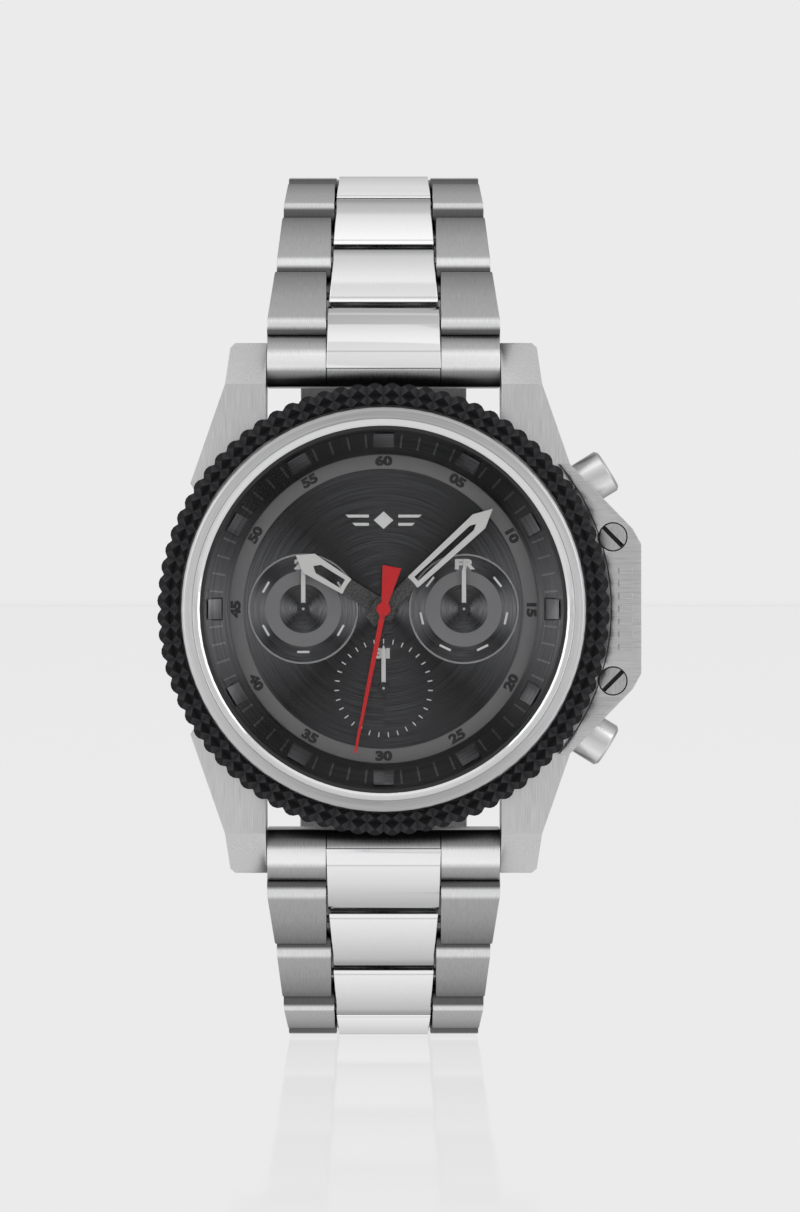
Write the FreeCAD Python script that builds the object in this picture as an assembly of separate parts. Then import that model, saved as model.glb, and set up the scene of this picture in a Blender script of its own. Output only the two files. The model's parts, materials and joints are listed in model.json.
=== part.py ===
import FreeCAD, Part
import math
import os

Vector = FreeCAD.Vector

# Wristwatch on a link bracelet. Millimetres. +X is towards 3 o'clock, +Z towards 12 o'clock
# and the dial faces -Y. The origin is the centre of the case back's outer face, on the hand axis.
# A "height" is the distance in front of the case back, so it is minus Y.

# ---- case ------------------------------------------------------------------------------------
ring_radius = 23.0            # knurled ring, outside
bezel_radius = 20.5           # plain silver bezel, outside
crystal_radius = 18.25
case_radius = 21.2            # body under the rings
case_bore = 17.2              # room for the movement
case_low = 1.2                # underside of the middle case
case_high = 7.9               # top of the middle case, where the rings sit
bezel_high = 11.6
ring_high = 10.8
crystal_low = 10.7
crystal_high = 11.7
band_half_width = 12.0        # at the lugs
lug_half_gap = band_half_width + 0.05
lug_tip_x = 15.8
lug_tip_z = 27.36
lug_crease_z = 22.97
lug_foot_x = 19.75
lug_foot_z = 12.8
spring_bar_z = 25.2
spring_bar_height = 2.2
spring_bar_radius = 0.85
spring_bar_tip_radius = 0.45
seat_gap = 0.05               # clearance of pieces that sit still in one another
pin_gap = 0.04                # radial clearance of a turning pin

# ---- dial side -------------------------------------------------------------------------------
dial_low = 7.5
dial_high = 7.9
dial_radius = 17.9
chapter_inner = 14.3
chapter_outer = 15.8
marker_inner = 16.5
marker_outer = 17.8
marker_width = 2.07
sub_centre_x = 8.2            # 24 hour dial at -X, weekday dial at +X
sub_centre_z = 8.1            # date dial, below the centre
sub_rim_radius = 5.65

# ---- controls --------------------------------------------------------------------------------
guard_x = ring_radius + 3.3
guard_low = 6.9
guard_high = 8.4
screw_x = ring_radius + 0.4
screw_z = 7.35
screw_radius = 1.36
crown_height = 4.05
crown_radius = 2.5
crown_inner_x = 22.6
crown_length = 3.0
stem_radius = 0.5
pusher_angle = 31.7
pusher_height = 4.35
pusher_radius = 2.33
pusher_tip = 27.15
pusher_base = 22.4
pusher_travel = 0.9
tube_inner_end = 17.15
tube_outer_end = 21.35
pusher_stem_radius = 1.0

# ---- bracelet --------------------------------------------------------------------------------
pitch = 6.7                   # hinge to hinge
link_outer = 1.7              # hinge axis to the outside face
link_inner = 1.5              # hinge axis to the wrist side
knuckle_radius = 1.97         # rounded end about a hinge
knuckle_gap = 0.15            # room round a rounded end
centre_gap = 0.45             # the wider gap in front of a middle piece
link_pin_radius = 0.5
clasp_half_width = 9.3
taper_rows = 2.35             # rows over which the taper dies away
middle_share = 0.487          # middle piece's width as a share of its row's
middle_taper = 0.15           # how much a middle piece's far end is narrower than the next one
side_gap = 0.06
end_link_z = 22.75              # case side of the end links
first_hinge_y = -3.2
first_hinge_z = 29.2
tilts_12 = [24, 35, 63, 88, 106, 122, 137, 151, 163, 173]
tilts_6 = [24, 35, 63, 90, 108, 126, 143, 157, 167]

# ---- clasp, measured along its arc from the 12 o'clock half's last hinge ------------------------
clasp_arc_radius = 62.0
blade_half_width = 4.3
blade_thickness = 0.8
inner_blade_low = -1.35
middle_blade_low = -0.35
cover_low = 0.9
cover_high = 2.1
cover_wall = 0.9
upper_hinge_along = 3.6
upper_hinge_out = 1.2
upper_hinge_radius = 0.85
lower_hinge_out = -0.45
lower_hinge_radius = 0.95
clasp_pin_radius = 0.4
cheek_inner = 4.55
button_radius = 0.85
button_out = -0.25
button_stand_out = 0.8


def save(node, solids):
    """Write one node as a compound of its separate solids."""
    Part.makeCompound(solids).exportStep("parts/" + node + ".step")


def rod(radius, low, high, x=0.0, z=0.0):
    """A cylinder along the hand axis between two heights."""
    return Part.makeCylinder(radius, high - low, Vector(x, -low, z), Vector(0, -1, 0))


def ring(outer, inner, low, high, x=0.0, z=0.0):
    return rod(outer, low, high, x, z).cut(rod(inner, low - 1, high + 1, x, z))


def plate(points, low, high):
    """An outline of (x, z) points swept between two heights."""
    corners = [Vector(x, -low, z) for x, z in points]
    return Part.Face(Part.makePolygon(corners + corners[:1])).extrude(Vector(0, low - high, 0))


def turned(points):
    """An outline of (radius, height) points turned about the hand axis."""
    corners = [Vector(r, -h, 0) for r, h in points]
    face = Part.Face(Part.makePolygon(corners + corners[:1]))
    return face.revolve(Vector(0, 0, 0), Vector(0, 1, 0), 360)


def across(points, x0, x1):
    """An outline of (z, height) points swept from x0 to x1."""
    corners = [Vector(x0, -h, z) for z, h in points]
    return Part.Face(Part.makePolygon(corners + corners[:1])).extrude(Vector(x1 - x0, 0, 0))


def cross_rod(radius, y, z, x0, x1):
    """A cylinder along X."""
    return Part.makeCylinder(radius, x1 - x0, Vector(x0, y, z), Vector(1, 0, 0))


def block(x0, x1, low, high, z0, z1):
    return Part.makeBox(x1 - x0, high - low, z1 - z0, Vector(x0, -high, z0))


def radial_rod(radius, start, end, angle, height):
    """A cylinder pointing away from the hand axis; angle 0 is 3 o'clock, 90 is 12 o'clock."""
    c, s = math.cos(math.radians(angle)), math.sin(math.radians(angle))
    return Part.makeCylinder(radius, end - start, Vector(start * c, -height, start * s), Vector(c, 0, s))


def turn(shape, degrees):
    """Turn clockwise as seen from the front about the hand axis."""
    copy = shape.copy()
    copy.rotate(Vector(0, 0, 0), Vector(0, 1, 0), degrees)
    return copy


def flip_x(shape):
    return shape.mirror(Vector(0, 0, 0), Vector(1, 0, 0))


def flip_z(shape):
    return shape.mirror(Vector(0, 0, 0), Vector(0, 0, 1))


def wavy_outline(radius, depth, count):
    """Points of a circle with a notch of the given depth between two bumps."""
    points = []
    for i in range(count):
        for part, reduce in ((0.0, depth), (0.28, 0.2 * depth), (0.5, 0.0), (0.72, 0.2 * depth)):
            angle = 2 * math.pi * (i + part) / count
            points.append(((radius - reduce) * math.sin(angle), (radius - reduce) * math.cos(angle)))
    return points


def gear(teeth, module, low, high, x=0.0, z=0.0, phase=0.0):
    """A flat wheel with short straight-sided teeth; phase is in teeth."""
    tip = module * (teeth / 2 + 0.5)
    root = module * (teeth / 2 - 0.8)
    points = []
    for i in range(teeth):
        for part, radius in ((-0.23, root), (-0.12, tip), (0.12, tip), (0.23, root)):
            angle = 2 * math.pi * (i + part + phase) / teeth
            points.append((x + radius * math.sin(angle), z + radius * math.cos(angle)))
    return plate(points, low, high)


# ============================================ case ============================================
tube_spots = ((0.0, crown_height), (pusher_angle, pusher_height), (-pusher_angle, pusher_height))
tube_radius = 1.4


def make_lug():
    """The lug at 1 o'clock: straight flank, a crease, then a facet sloping to the tip."""
    plan = [(lug_half_gap, 12.0), (lug_half_gap, lug_tip_z), (lug_tip_x - 0.5, lug_tip_z),
            (lug_tip_x, lug_tip_z - 0.5), (lug_tip_x + 0.4, lug_crease_z), (lug_foot_x, lug_foot_z),
            (lug_foot_x - 3.0, 8.0)]
    side = [(8.0, case_low), (18.8, case_low), (24.0, 0.6), (lug_tip_z - 0.9, 0.7), (lug_tip_z + 0.1, 1.7),
            (lug_tip_z + 0.1, 3.4), (lug_crease_z, case_high), (8.0, case_high)]
    lug = plate(plan, 0.0, case_high + 1).common(across(side, 0.0, ring_radius + 5))
    hole = cross_rod(spring_bar_tip_radius + pin_gap, -spring_bar_height, spring_bar_z,
                     lug_half_gap - 1, lug_half_gap + 1.6)
    return lug.cut(hole)


def guard_outline(inset):
    """The guard over the crown; the pocket under it follows the same outline, drawn in."""
    edge = guard_x - inset
    return [(15.0, 14.8 - inset), (edge - 7.3, 14.8 - inset), (edge - 0.9, 8.2 - inset / 2),
            (edge, 6.6), (edge, -6.6), (edge - 0.9, -8.2 + inset / 2),
            (edge - 7.3, -14.8 + inset), (15.0, -14.8 + inset)]


def make_case_middle():
    body = rod(case_radius, case_low, case_high)
    lug = make_lug()
    for piece in (lug, flip_x(lug), flip_z(lug), flip_z(flip_x(lug))):
        body = body.fuse(piece)
    body = body.fuse(plate(guard_outline(0.5), 1.8, guard_low))
    body = body.cut(rod(case_bore, 0, case_high + 1))
    body = body.cut(rod(dial_radius + seat_gap, dial_low, case_high + 1))
    body = body.cut(ring(18.4, 17.8, 0, case_low + 0.5))
    body = body.cut(block(21.7, 30, 1.0, guard_low + 1, -3.4, 3.4))
    for angle, height in tube_spots:
        body = body.cut(radial_rod(tube_radius + 0.01, 15, 23, angle, height))
    for angle in (pusher_angle, -pusher_angle):
        body = body.cut(radial_rod(pusher_radius + 0.3, tube_outer_end, 30, angle, pusher_height))
    for z in (screw_z, -screw_z):
        body = body.cut(rod(0.71, 4.4, 8, screw_x, z))
    return body.removeSplitter()


def make_case_back():
    """Screwed back with six key notches round its rim."""
    back = turned([(0, 0), (18.0, 0), (18.6, 0.4), (18.6, case_low), (case_bore - seat_gap, case_low),
                   (case_bore - seat_gap, 1.9), (0, 1.9)])
    notch = block(-1.0, 1.0, -1, 0.55, 17.2, 19.5)
    return back.cut([turn(notch, 60 * i) for i in range(6)])


def make_bezel():
    return turned([(18.6, case_high), (bezel_radius, case_high), (bezel_radius, bezel_high - 0.3),
                   (bezel_radius - 0.3, bezel_high), (19.35, bezel_high), (19.3, bezel_high - 0.08),
                   (19.05, bezel_high - 0.08), (18.6, bezel_high - 0.35)])


def make_knurled_ring():
    """Two rows of pyramids round the face, with a notched rim."""
    inner = bezel_radius + 0.3
    teeth = 80
    profile = turned([(inner, case_high), (ring_radius, case_high), (ring_radius, ring_high - 0.5),
                      (22.3, ring_high), (21.72, ring_high - 0.55), (21.2, ring_high - 0.08),
                      (inner, ring_high - 0.5)])
    ring_body = plate(wavy_outline(ring_radius, 0.4, teeth), 0, 15).common(profile)
    floor = ring_high - 0.62
    half = math.pi * 22.0 / teeth
    top = ring_high + 0.06
    corners = [Vector(0, -floor, 19.5), Vector(-half, -top, 19.5), Vector(half, -top, 19.5)]
    valley = Part.Face(Part.makePolygon(corners + corners[:1])).extrude(Vector(0, 0, 5))
    return ring_body.cut([turn(valley, 360.0 * i / teeth) for i in range(teeth)])


def make_markers():
    """Twelve blocks standing on the sloping ring inside the bezel."""
    slope = (crystal_low - 0.1 - 8.3) / (18.15 - chapter_outer)
    rise_in = 8.3 + (marker_inner - chapter_outer) * slope
    rise_out = 8.3 + (marker_outer - chapter_outer) * slope
    half = marker_width / 2
    bar = across([(marker_inner, rise_in - 0.3), (marker_inner, rise_in + 0.3),
                  (marker_outer, rise_out + 0.3), (marker_outer, rise_out - 0.3)], -half, half)
    return [turn(bar, 30 * i) for i in range(12)]


def make_rehaut(markers):
    slope_ring = turned([(chapter_outer, dial_high), (18.5, dial_high), (18.5, crystal_low),
                         (18.25, crystal_low), (18.15, crystal_low - 0.1), (chapter_outer, 8.3)])
    return slope_ring.cut(markers)


def make_dial():
    dial = rod(dial_radius, dial_low, dial_high).cut(rod(1.05, 7, 9))
    for x, z in ((-sub_centre_x, 0), (sub_centre_x, 0), (0, -sub_centre_z)):
        dial = dial.cut(rod(0.45, 7, 9, x, z))
        dial = dial.cut(ring(5.2, 4.0, dial_high - 0.06, 9, x, z))
    return dial


def make_dial_rings():
    rings = [ring(chapter_outer - 0.02, chapter_inner, dial_high, 8.2)]
    for x in (-sub_centre_x, sub_centre_x):
        rings.append(ring(sub_rim_radius, sub_rim_radius - 0.22, dial_high, 8.1, x, 0))
    return rings


def make_guard():
    """Cover plate over the crown with raised ribs and two countersunk seats."""
    upper = plate(guard_outline(0.0), 7.85, guard_high).cut(rod(ring_radius + 0.25, 0, 12))
    lower = plate(guard_outline(0.0), guard_low, 7.85).cut(rod(case_radius + seat_gap, 0, 12))
    guard = upper.fuse(lower)
    guard = guard.cut(make_lug()).cut(flip_z(make_lug()))
    for angle in (pusher_angle, -pusher_angle):
        guard = guard.cut(radial_rod(pusher_radius + 0.2, tube_outer_end, 30, angle, pusher_height))
    for z in (screw_z, -screw_z):
        guard = guard.cut(rod(screw_radius + 0.12, 7.5, 9, screw_x, z))
        guard = guard.cut(rod(0.8, 6, 9, screw_x, z))
    for i in range(7):
        z = -3.9 + 1.3 * i
        guard = guard.fuse(block(guard_x - 2.3, guard_x - 0.9, guard_high, guard_high + 0.2, z - 0.3, z + 0.3))
    return guard.removeSplitter()


def make_guard_screw(z, slot_angle):
    head = rod(screw_radius, 7.5, 8.5, screw_x, z).fuse(rod(0.7, 4.5, 7.5, screw_x, z))
    slot = block(-0.22, 0.22, 8.2, 9, -2, 2)
    slot.rotate(Vector(0, 0, 0), Vector(0, 1, 0), slot_angle)
    slot.translate(Vector(screw_x, 0, z))
    return head.cut(slot)


def make_spring_bar():
    y, z = -spring_bar_height, spring_bar_z
    end = lug_half_gap - 0.25
    bar = cross_rod(spring_bar_radius, y, z, -end, end)
    return bar.fuse(cross_rod(spring_bar_tip_radius, y, z, -lug_half_gap - 1.3, lug_half_gap + 1.3))


# ======================================= crown and pushers =====================================
lever_x = 11.5


def make_crown():
    outline = wavy_outline(crown_radius, 0.25, 22)
    crown = plate(outline, 0, crown_length)
    crown = crown.cut(rod(stem_radius + 0.01, -1, crown_length - 0.8))
    crown.rotate(Vector(0, 0, 0), Vector(0, 0, 1), 90)
    crown.translate(Vector(crown_inner_x, -crown_height, 0))
    return crown


def make_stem():
    y = -crown_height
    stem = cross_rod(stem_radius, y, 0, 10.2, crown_inner_x + crown_length - 0.9)
    for x in (lever_x - 0.6, lever_x + 1.1):
        stem = stem.fuse(cross_rod(0.8, y, 0, x, x + 0.5))
    return stem


def make_setting_lever():
    lever = block(lever_x, lever_x + 1.0, 2.9, 4.75, -1.2, 2.5)
    return lever.cut(cross_rod(stem_radius + pin_gap, -crown_height, 0, lever_x - 1, lever_x + 2))


def make_tube(angle, height, bore):
    tube = radial_rod(tube_radius, tube_inner_end, tube_outer_end, angle, height)
    return tube.cut(radial_rod(bore, tube_inner_end - 1, tube_outer_end + 1, angle, height))


def make_pusher(angle):
    """Chamfered cap, hollow behind for its spring, on a stem with a stop clip."""
    height = pusher_height
    chamfer = 0.28
    start = pusher_tip - chamfer
    cap = radial_rod(pusher_radius, pusher_base, start, angle, height)
    c, s = math.cos(math.radians(angle)), math.sin(math.radians(angle))
    nose = Part.makeCone(pusher_radius, pusher_radius - chamfer, chamfer,
                         Vector(start * c, -height, start * s), Vector(c, 0, s))
    cap = cap.fuse(nose).cut(radial_rod(1.8, pusher_base - 1, pusher_base + 1.6, angle, height))
    stem = radial_rod(pusher_stem_radius, tube_inner_end - 0.6, pusher_base + 1.7, angle, height)
    clip = radial_rod(1.6, tube_inner_end - 0.5, tube_inner_end - 0.2, angle, height)
    return cap.fuse(stem).fuse(clip).removeSplitter()


def make_spring(angle):
    """A coil round the pusher's stem, from the tube to the bottom of the cap's hollow."""
    wire = 0.13
    mean = 1.4
    start = tube_outer_end + wire + 0.02
    length = pusher_base + 1.6 - start - wire - 0.02
    helix = Part.makeHelix(length / 4.0, length, mean)
    angles = [math.pi * i / 4 for i in range(8)]
    corners = [Vector(mean + wire * math.cos(a), 0, wire * math.sin(a)) for a in angles]
    section = Part.makePolygon(corners + corners[:1])
    coil = Part.Wire(helix.Edges).makePipeShell([section], True, True)
    coil.rotate(Vector(0, 0, 0), Vector(0, 1, 0), 90)
    coil.translate(Vector(start, -pusher_height, 0))
    return turn(coil, -angle)


# ============================================ hands ============================================
hour_wheel_low = 6.9
wheel_offset = 3.6            # minute wheel's axis above the centre
cannon_low = 6.15


def skeleton_hand(length, shoulder, start, width, slot_width, slot_end, low, high, bore, tail):
    """A pointed hand pointing to 12 with a long slot, on a round hub."""
    half = width / 2
    blade = plate([(-half * 0.8, start), (-half, shoulder), (0, length), (half, shoulder), (half * 0.8, start)],
                  low, high)
    slot = plate([(-slot_width / 2, start + 0.45), (-slot_width / 2, slot_end - 0.6), (0, slot_end),
                  (slot_width / 2, slot_end - 0.6), (slot_width / 2, start + 0.45)], low - 1, high + 1)
    narrow = half * 0.75
    arm = plate([(-narrow, -tail), (-narrow, start + 0.1), (narrow, start + 0.1), (narrow, -tail)],
                low, high)
    hub = rod(1.2, low, high)
    return blade.cut(slot).fuse(arm).fuse(hub).cut(rod(bore, low - 1, high + 1)).removeSplitter()


def make_seconds_hand():
    low, high = 9.75, 10.0
    blade = plate([(-0.28, 0), (-0.13, 14.9), (0.13, 14.9), (0.28, 0)], low, high)
    tail = plate([(-0.25, 0), (-0.97, -4.4), (0.97, -4.4), (0.25, 0)], low, high)
    hub = rod(0.71, low, high + 0.15)
    hand = blade.fuse(tail).fuse(hub).cut(rod(0.25, 3, 9.95)).removeSplitter()
    arbor = rod(0.245, 4.9, 9.94)
    return [hand, arbor]


def make_small_hand(x, z):
    low, high = 8.13, 8.33
    left, right = x - 0.22, x + 0.22
    blade = plate([(left, z - 1.2), (left, z + 3.9), (x, z + 4.45), (right, z + 3.9), (right, z - 1.2)],
                  low, high)
    hub = rod(0.62, low, high + 0.1, x, z)
    arbor = rod(0.35, 6.7, low + 0.1, x, z)
    return [blade.fuse(hub).cut(arbor).removeSplitter(), arbor]


def make_hour_wheel():
    wheel = gear(40, 0.144, hour_wheel_low, hour_wheel_low + 0.35)
    tube = rod(0.95, hour_wheel_low, 8.7)
    return wheel.fuse(tube).cut(rod(0.6, 5, 10))


def make_cannon_pinion():
    pinion = gear(12, 0.15, cannon_low, cannon_low + 0.45)
    return pinion.fuse(rod(0.55, cannon_low, 9.35)).cut(rod(0.29, 5, 10))


def make_minute_wheel():
    wheel = gear(36, 0.15, cannon_low + 0.05, cannon_low + 0.35, 0, wheel_offset, 0.5)
    pinion = gear(10, 0.144, cannon_low + 0.05, hour_wheel_low + 0.38, 0, wheel_offset, 0.5)
    return wheel.fuse(pinion).cut(rod(0.34, 5, 9, 0, wheel_offset))


# ========================================== movement ===========================================
def make_holder():
    holder = ring(17.05, 14.1, 1.95, 7.45).fuse(ring(14.15, 13.3, 5.95, 6.3))
    holder = holder.cut(radial_rod(1.1, 10, 18, 0, crown_height))
    for angle in (pusher_angle, -pusher_angle):
        holder = holder.cut(radial_rod(1.95, tube_inner_end - 0.8 - pusher_travel, 18, angle, pusher_height))
    return holder


def make_main_plate():
    base = rod(14.0, 4.9, 5.9).cut(rod(0.34, 4, 7))
    return base.fuse(rod(0.3, 5.9, 7.35, 0, wheel_offset))


def make_circuit():
    board = rod(13.6, 4.3, 4.7).cut(rod(0.9, 4, 5)).cut(block(9.0, 15, 4, 5, -3.2, 4.0))
    core = cross_rod(0.35, -3.1, 8.5, -5.5, 4.5)
    coil = cross_rod(0.9, -3.1, 8.5, -4.5, 3.5).cut(core)
    return [board, coil, core]


# =========================================== bracelet ==========================================
def half_width(row):
    """Half the band's width at a hinge, counted from the case."""
    return clasp_half_width + (band_half_width - clasp_half_width) * math.exp(-row / taper_rows)


def middle_half(row):
    return middle_share * half_width(row - 1)


def strap_slab(x_near, x_far, x_inner, u0, u1):
    """A plan that tapers along the band, from x_inner out to its edge, as thick as a link."""
    points = [(x_inner, u0), (x_near, u0), (x_far, u1), (x_inner, u1)]
    return plate(points, -link_inner, link_outer)


def knuckle(radius, at, reach):
    return cross_rod(radius, 0, at, -reach, reach)


def make_link(row, last_of_6, spare_bar):
    """One row, its first hinge on the X axis: two brushed side pieces, the polished middle piece
    that reaches on into the next row, the hinge pin and the bar that joins the three."""
    near, far = half_width(row - 1), half_width(row)
    centre_near = middle_half(row)
    centre_far = middle_half(row + 1) - middle_taper
    inside = centre_near + side_gap
    reach = band_half_width + 5
    edge = math.sqrt((knuckle_radius + knuckle_gap) ** 2 - link_outer ** 2)
    side_end = pitch - edge
    if last_of_6:
        side_end = pitch - 1.6
    ends = plate([(-reach, 0), (reach, 0), (reach, side_end), (-reach, side_end)], -link_inner, link_outer)
    ends = ends.fuse(knuckle(knuckle_radius, 0, reach))
    ends = ends.cut(knuckle(knuckle_radius + knuckle_gap, pitch, reach + 1))
    right = strap_slab(near, far, inside, -knuckle_radius, pitch).common(ends)
    hinge_hole = knuckle(link_pin_radius + 0.01, 0, reach)
    bar_hole = knuckle(0.41, pitch * 0.5, inside + 2.5)
    right = right.cut(hinge_hole).cut(bar_hole).removeSplitter()
    middle = plate([(-centre_near, 0), (centre_near, 0), (centre_far, pitch), (-centre_far, pitch)],
                   -link_inner, link_outer)
    tongue = knuckle(knuckle_radius, pitch, centre_far)
    thick = plate([(-reach, 0), (reach, 0), (reach, 2 * pitch), (-reach, 2 * pitch)], -link_inner, link_outer)
    middle = middle.fuse(tongue.common(thick)).cut(knuckle(knuckle_radius + centre_gap, 0, reach))
    middle = middle.cut(knuckle(link_pin_radius + pin_gap, pitch, reach)).cut(bar_hole).removeSplitter()
    solids = [right, flip_x(right), middle]
    solids.append(knuckle(link_pin_radius, 0, min(near, half_width(row - 1) - 0.5)))
    solids.append(knuckle(0.4, pitch * 0.5, inside + 2.4))
    if spare_bar:
        solids.append(knuckle(link_pin_radius, pitch, centre_far - 0.05))
    return solids


def chain(tilts):
    """Hinge places (y, z) of the 12 o'clock half, or of the other half before it is mirrored."""
    places = [(first_hinge_y, first_hinge_z)]
    for tilt in tilts:
        y, z = places[-1]
        places.append((y + pitch * math.sin(math.radians(tilt)), z + pitch * math.cos(math.radians(tilt))))
    return places


hinges_12 = chain(tilts_12)
hinges_6 = [(y, -z) for y, z in chain(tilts_6)]


def place_link(solids, tilt, place, mirrored):
    placed = []
    for solid in solids:
        moved = solid.copy()
        moved.rotate(Vector(0, 0, 0), Vector(1, 0, 0), -tilt)
        if mirrored:
            moved = flip_z(moved)
        moved.translate(Vector(0, place[0], place[1]))
        placed.append(moved)
    return placed


def make_end_link():
    """Fills the space between two lugs; its polished tongue carries the first hinge."""
    half = band_half_width - 0.05
    tongue_far = middle_half(1) - middle_taper
    inside = middle_share * band_half_width + side_gap
    body = across([(end_link_z, 9.0), (28.6, 9.0), (28.6, 1.2), (24.0, 0.9), (end_link_z, 0.9)], -half, half)
    body = body.common(cross_rod(4.0, -2.4, 24.9, -half, half))
    body = body.cut(cross_rod(knuckle_radius + knuckle_gap, first_hinge_y, first_hinge_z, -15, 15))
    body = body.cut(block(-15, 15, 0, 12, first_hinge_z, 40))
    slot = block(-inside, inside, 0, 12, 24.6, 40)
    bar_hole = cross_rod(spring_bar_radius + seat_gap, -spring_bar_height, spring_bar_z, -15, 15)
    body = body.cut(slot).cut(bar_hole).removeSplitter()
    root = inside - 0.03
    tongue_sides = plate([(-root, 24.65), (root, 24.65), (tongue_far, 31.5), (-tongue_far, 31.5)],
                         0, 12)
    tongue = across([(24.65, 0.95), (24.65, 9.0), (first_hinge_z, 9.0), (first_hinge_z, 1.7)], -10, 10)
    tongue = tongue.common(cross_rod(6.46, -0.04, 25.0, -10, 10))
    round_end = cross_rod(knuckle_radius, first_hinge_y, first_hinge_z, -10, 10)
    height = -first_hinge_y
    round_end = round_end.common(block(-10, 10, height - link_inner, height + link_outer + 0.05, 20, 40))
    tongue = tongue.fuse(round_end).common(tongue_sides)
    tongue = tongue.cut(bar_hole)
    tongue = tongue.cut(cross_rod(link_pin_radius + pin_gap, first_hinge_y, first_hinge_z, -15, 15))
    return [body, tongue.removeSplitter()]


# ============================================= clasp ===========================================
upper_end = hinges_12[-1]
lower_end = hinges_6[-1]
chord = math.dist(upper_end, lower_end)
clasp_sweep = 2 * math.asin(chord / 2 / clasp_arc_radius)
clasp_length = clasp_sweep * clasp_arc_radius
lower_hinge_along = clasp_length - 6.0
cover_end_along = clasp_length + 0.6
button_along = clasp_length - 10.0


def clasp_point(along, out):
    """A point (y, z) from its distance along the clasp's arc and its distance outside the arc."""
    mid_y = (upper_end[0] + lower_end[0]) / 2
    mid_z = (upper_end[1] + lower_end[1]) / 2
    down = ((lower_end[0] - upper_end[0]) / chord, (lower_end[1] - upper_end[1]) / chord)
    away = (-down[1], down[0])
    depth = clasp_arc_radius * math.cos(clasp_sweep / 2)
    centre = (mid_y - depth * away[0], mid_z - depth * away[1])
    angle = along / clasp_arc_radius - clasp_sweep / 2
    radius = clasp_arc_radius + out
    y = centre[0] + radius * (math.cos(angle) * away[0] + math.sin(angle) * down[0])
    z = centre[1] + radius * (math.cos(angle) * away[1] + math.sin(angle) * down[1])
    return (y, z)


def arc_plate(start, end, low, high, x0, x1):
    """A curved plate of the clasp between two distances along it."""
    def corner(along, out):
        y, z = clasp_point(along, out)
        return Vector(x0, y, z)
    middle = (start + end) / 2
    edges = [Part.Arc(corner(start, low), corner(middle, low), corner(end, low)).toShape(),
             Part.makeLine(corner(end, low), corner(end, high)),
             Part.Arc(corner(end, high), corner(middle, high), corner(start, high)).toShape(),
             Part.makeLine(corner(start, high), corner(start, low))]
    return Part.Face(Part.Wire(edges)).extrude(Vector(x1 - x0, 0, 0))


def clasp_rod(radius, along, out, x0, x1):
    y, z = clasp_point(along, out)
    return cross_rod(radius, y, z, x0, x1)


def make_inner_blade():
    low, high = inner_blade_low, inner_blade_low + blade_thickness
    half = blade_half_width
    far = lower_hinge_along - 1.3
    blade = arc_plate(2.35, far, low, high, -half, half)
    blade = blade.fuse(arc_plate(2.35, 3.4, low, high, -cheek_inner - 1.0, cheek_inner + 1.0))
    ears = []
    knuckles = []
    for x0 in (cheek_inner, -cheek_inner - 1.0):
        ears.append(arc_plate(0, 3.4, low, 0.5, x0, x0 + 1.0).fuse(clasp_rod(1.35, 0, 0, x0, x0 + 1.0)))
    for x0 in (2.2, -half):
        x1 = x0 + half - 2.2
        bridge = arc_plate(far - 0.5, lower_hinge_along, low, high, x0, x1)
        knuckles.append(bridge.fuse(clasp_rod(lower_hinge_radius, lower_hinge_along, lower_hinge_out, x0, x1)))
    for piece in ears + knuckles:
        blade = blade.fuse(piece)
    blade = blade.cut(clasp_rod(link_pin_radius + 0.01, 0, 0, -9, 9))
    blade = blade.cut(clasp_rod(clasp_pin_radius + 0.01, lower_hinge_along, lower_hinge_out, -9, 9))
    end_pin = clasp_rod(link_pin_radius, 0, 0, -cheek_inner - 1.0, cheek_inner + 1.0)
    fold_pin = clasp_rod(clasp_pin_radius, lower_hinge_along, lower_hinge_out, -half, half)
    return [blade.removeSplitter(), end_pin, fold_pin]


def make_middle_blade():
    low, high = middle_blade_low, middle_blade_low + blade_thickness
    half = blade_half_width
    blade = arc_plate(upper_hinge_along - 0.85, lower_hinge_along - 1.3, low, high, -half, half)
    tab = arc_plate(lower_hinge_along - 1.8, lower_hinge_along, low, high, -2.1, 2.1)
    blade = blade.fuse(tab).fuse(clasp_rod(lower_hinge_radius, lower_hinge_along, lower_hinge_out, -2.1, 2.1))
    for x0 in (2.25, -half):
        x1 = x0 + half - 2.25
        ear = arc_plate(upper_hinge_along - 0.85, upper_hinge_along + 0.85, low, upper_hinge_out, x0, x1)
        blade = blade.fuse(ear).fuse(clasp_rod(upper_hinge_radius, upper_hinge_along, upper_hinge_out, x0, x1))
    blade = blade.cut(clasp_rod(clasp_pin_radius + pin_gap, lower_hinge_along, lower_hinge_out, -9, 9))
    blade = blade.cut(clasp_rod(clasp_pin_radius + 0.01, upper_hinge_along, upper_hinge_out, -9, 9))
    blade = blade.cut(clasp_rod(upper_hinge_radius + 0.15, upper_hinge_along, upper_hinge_out, -2.2, 2.2))
    blade = blade.cut(arc_plate(8, lower_hinge_along - 6, low - 1, high + 1, -2.0, 2.0))
    pin = clasp_rod(clasp_pin_radius, upper_hinge_along, upper_hinge_out, -half, half)
    return [blade.removeSplitter(), pin]


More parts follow.
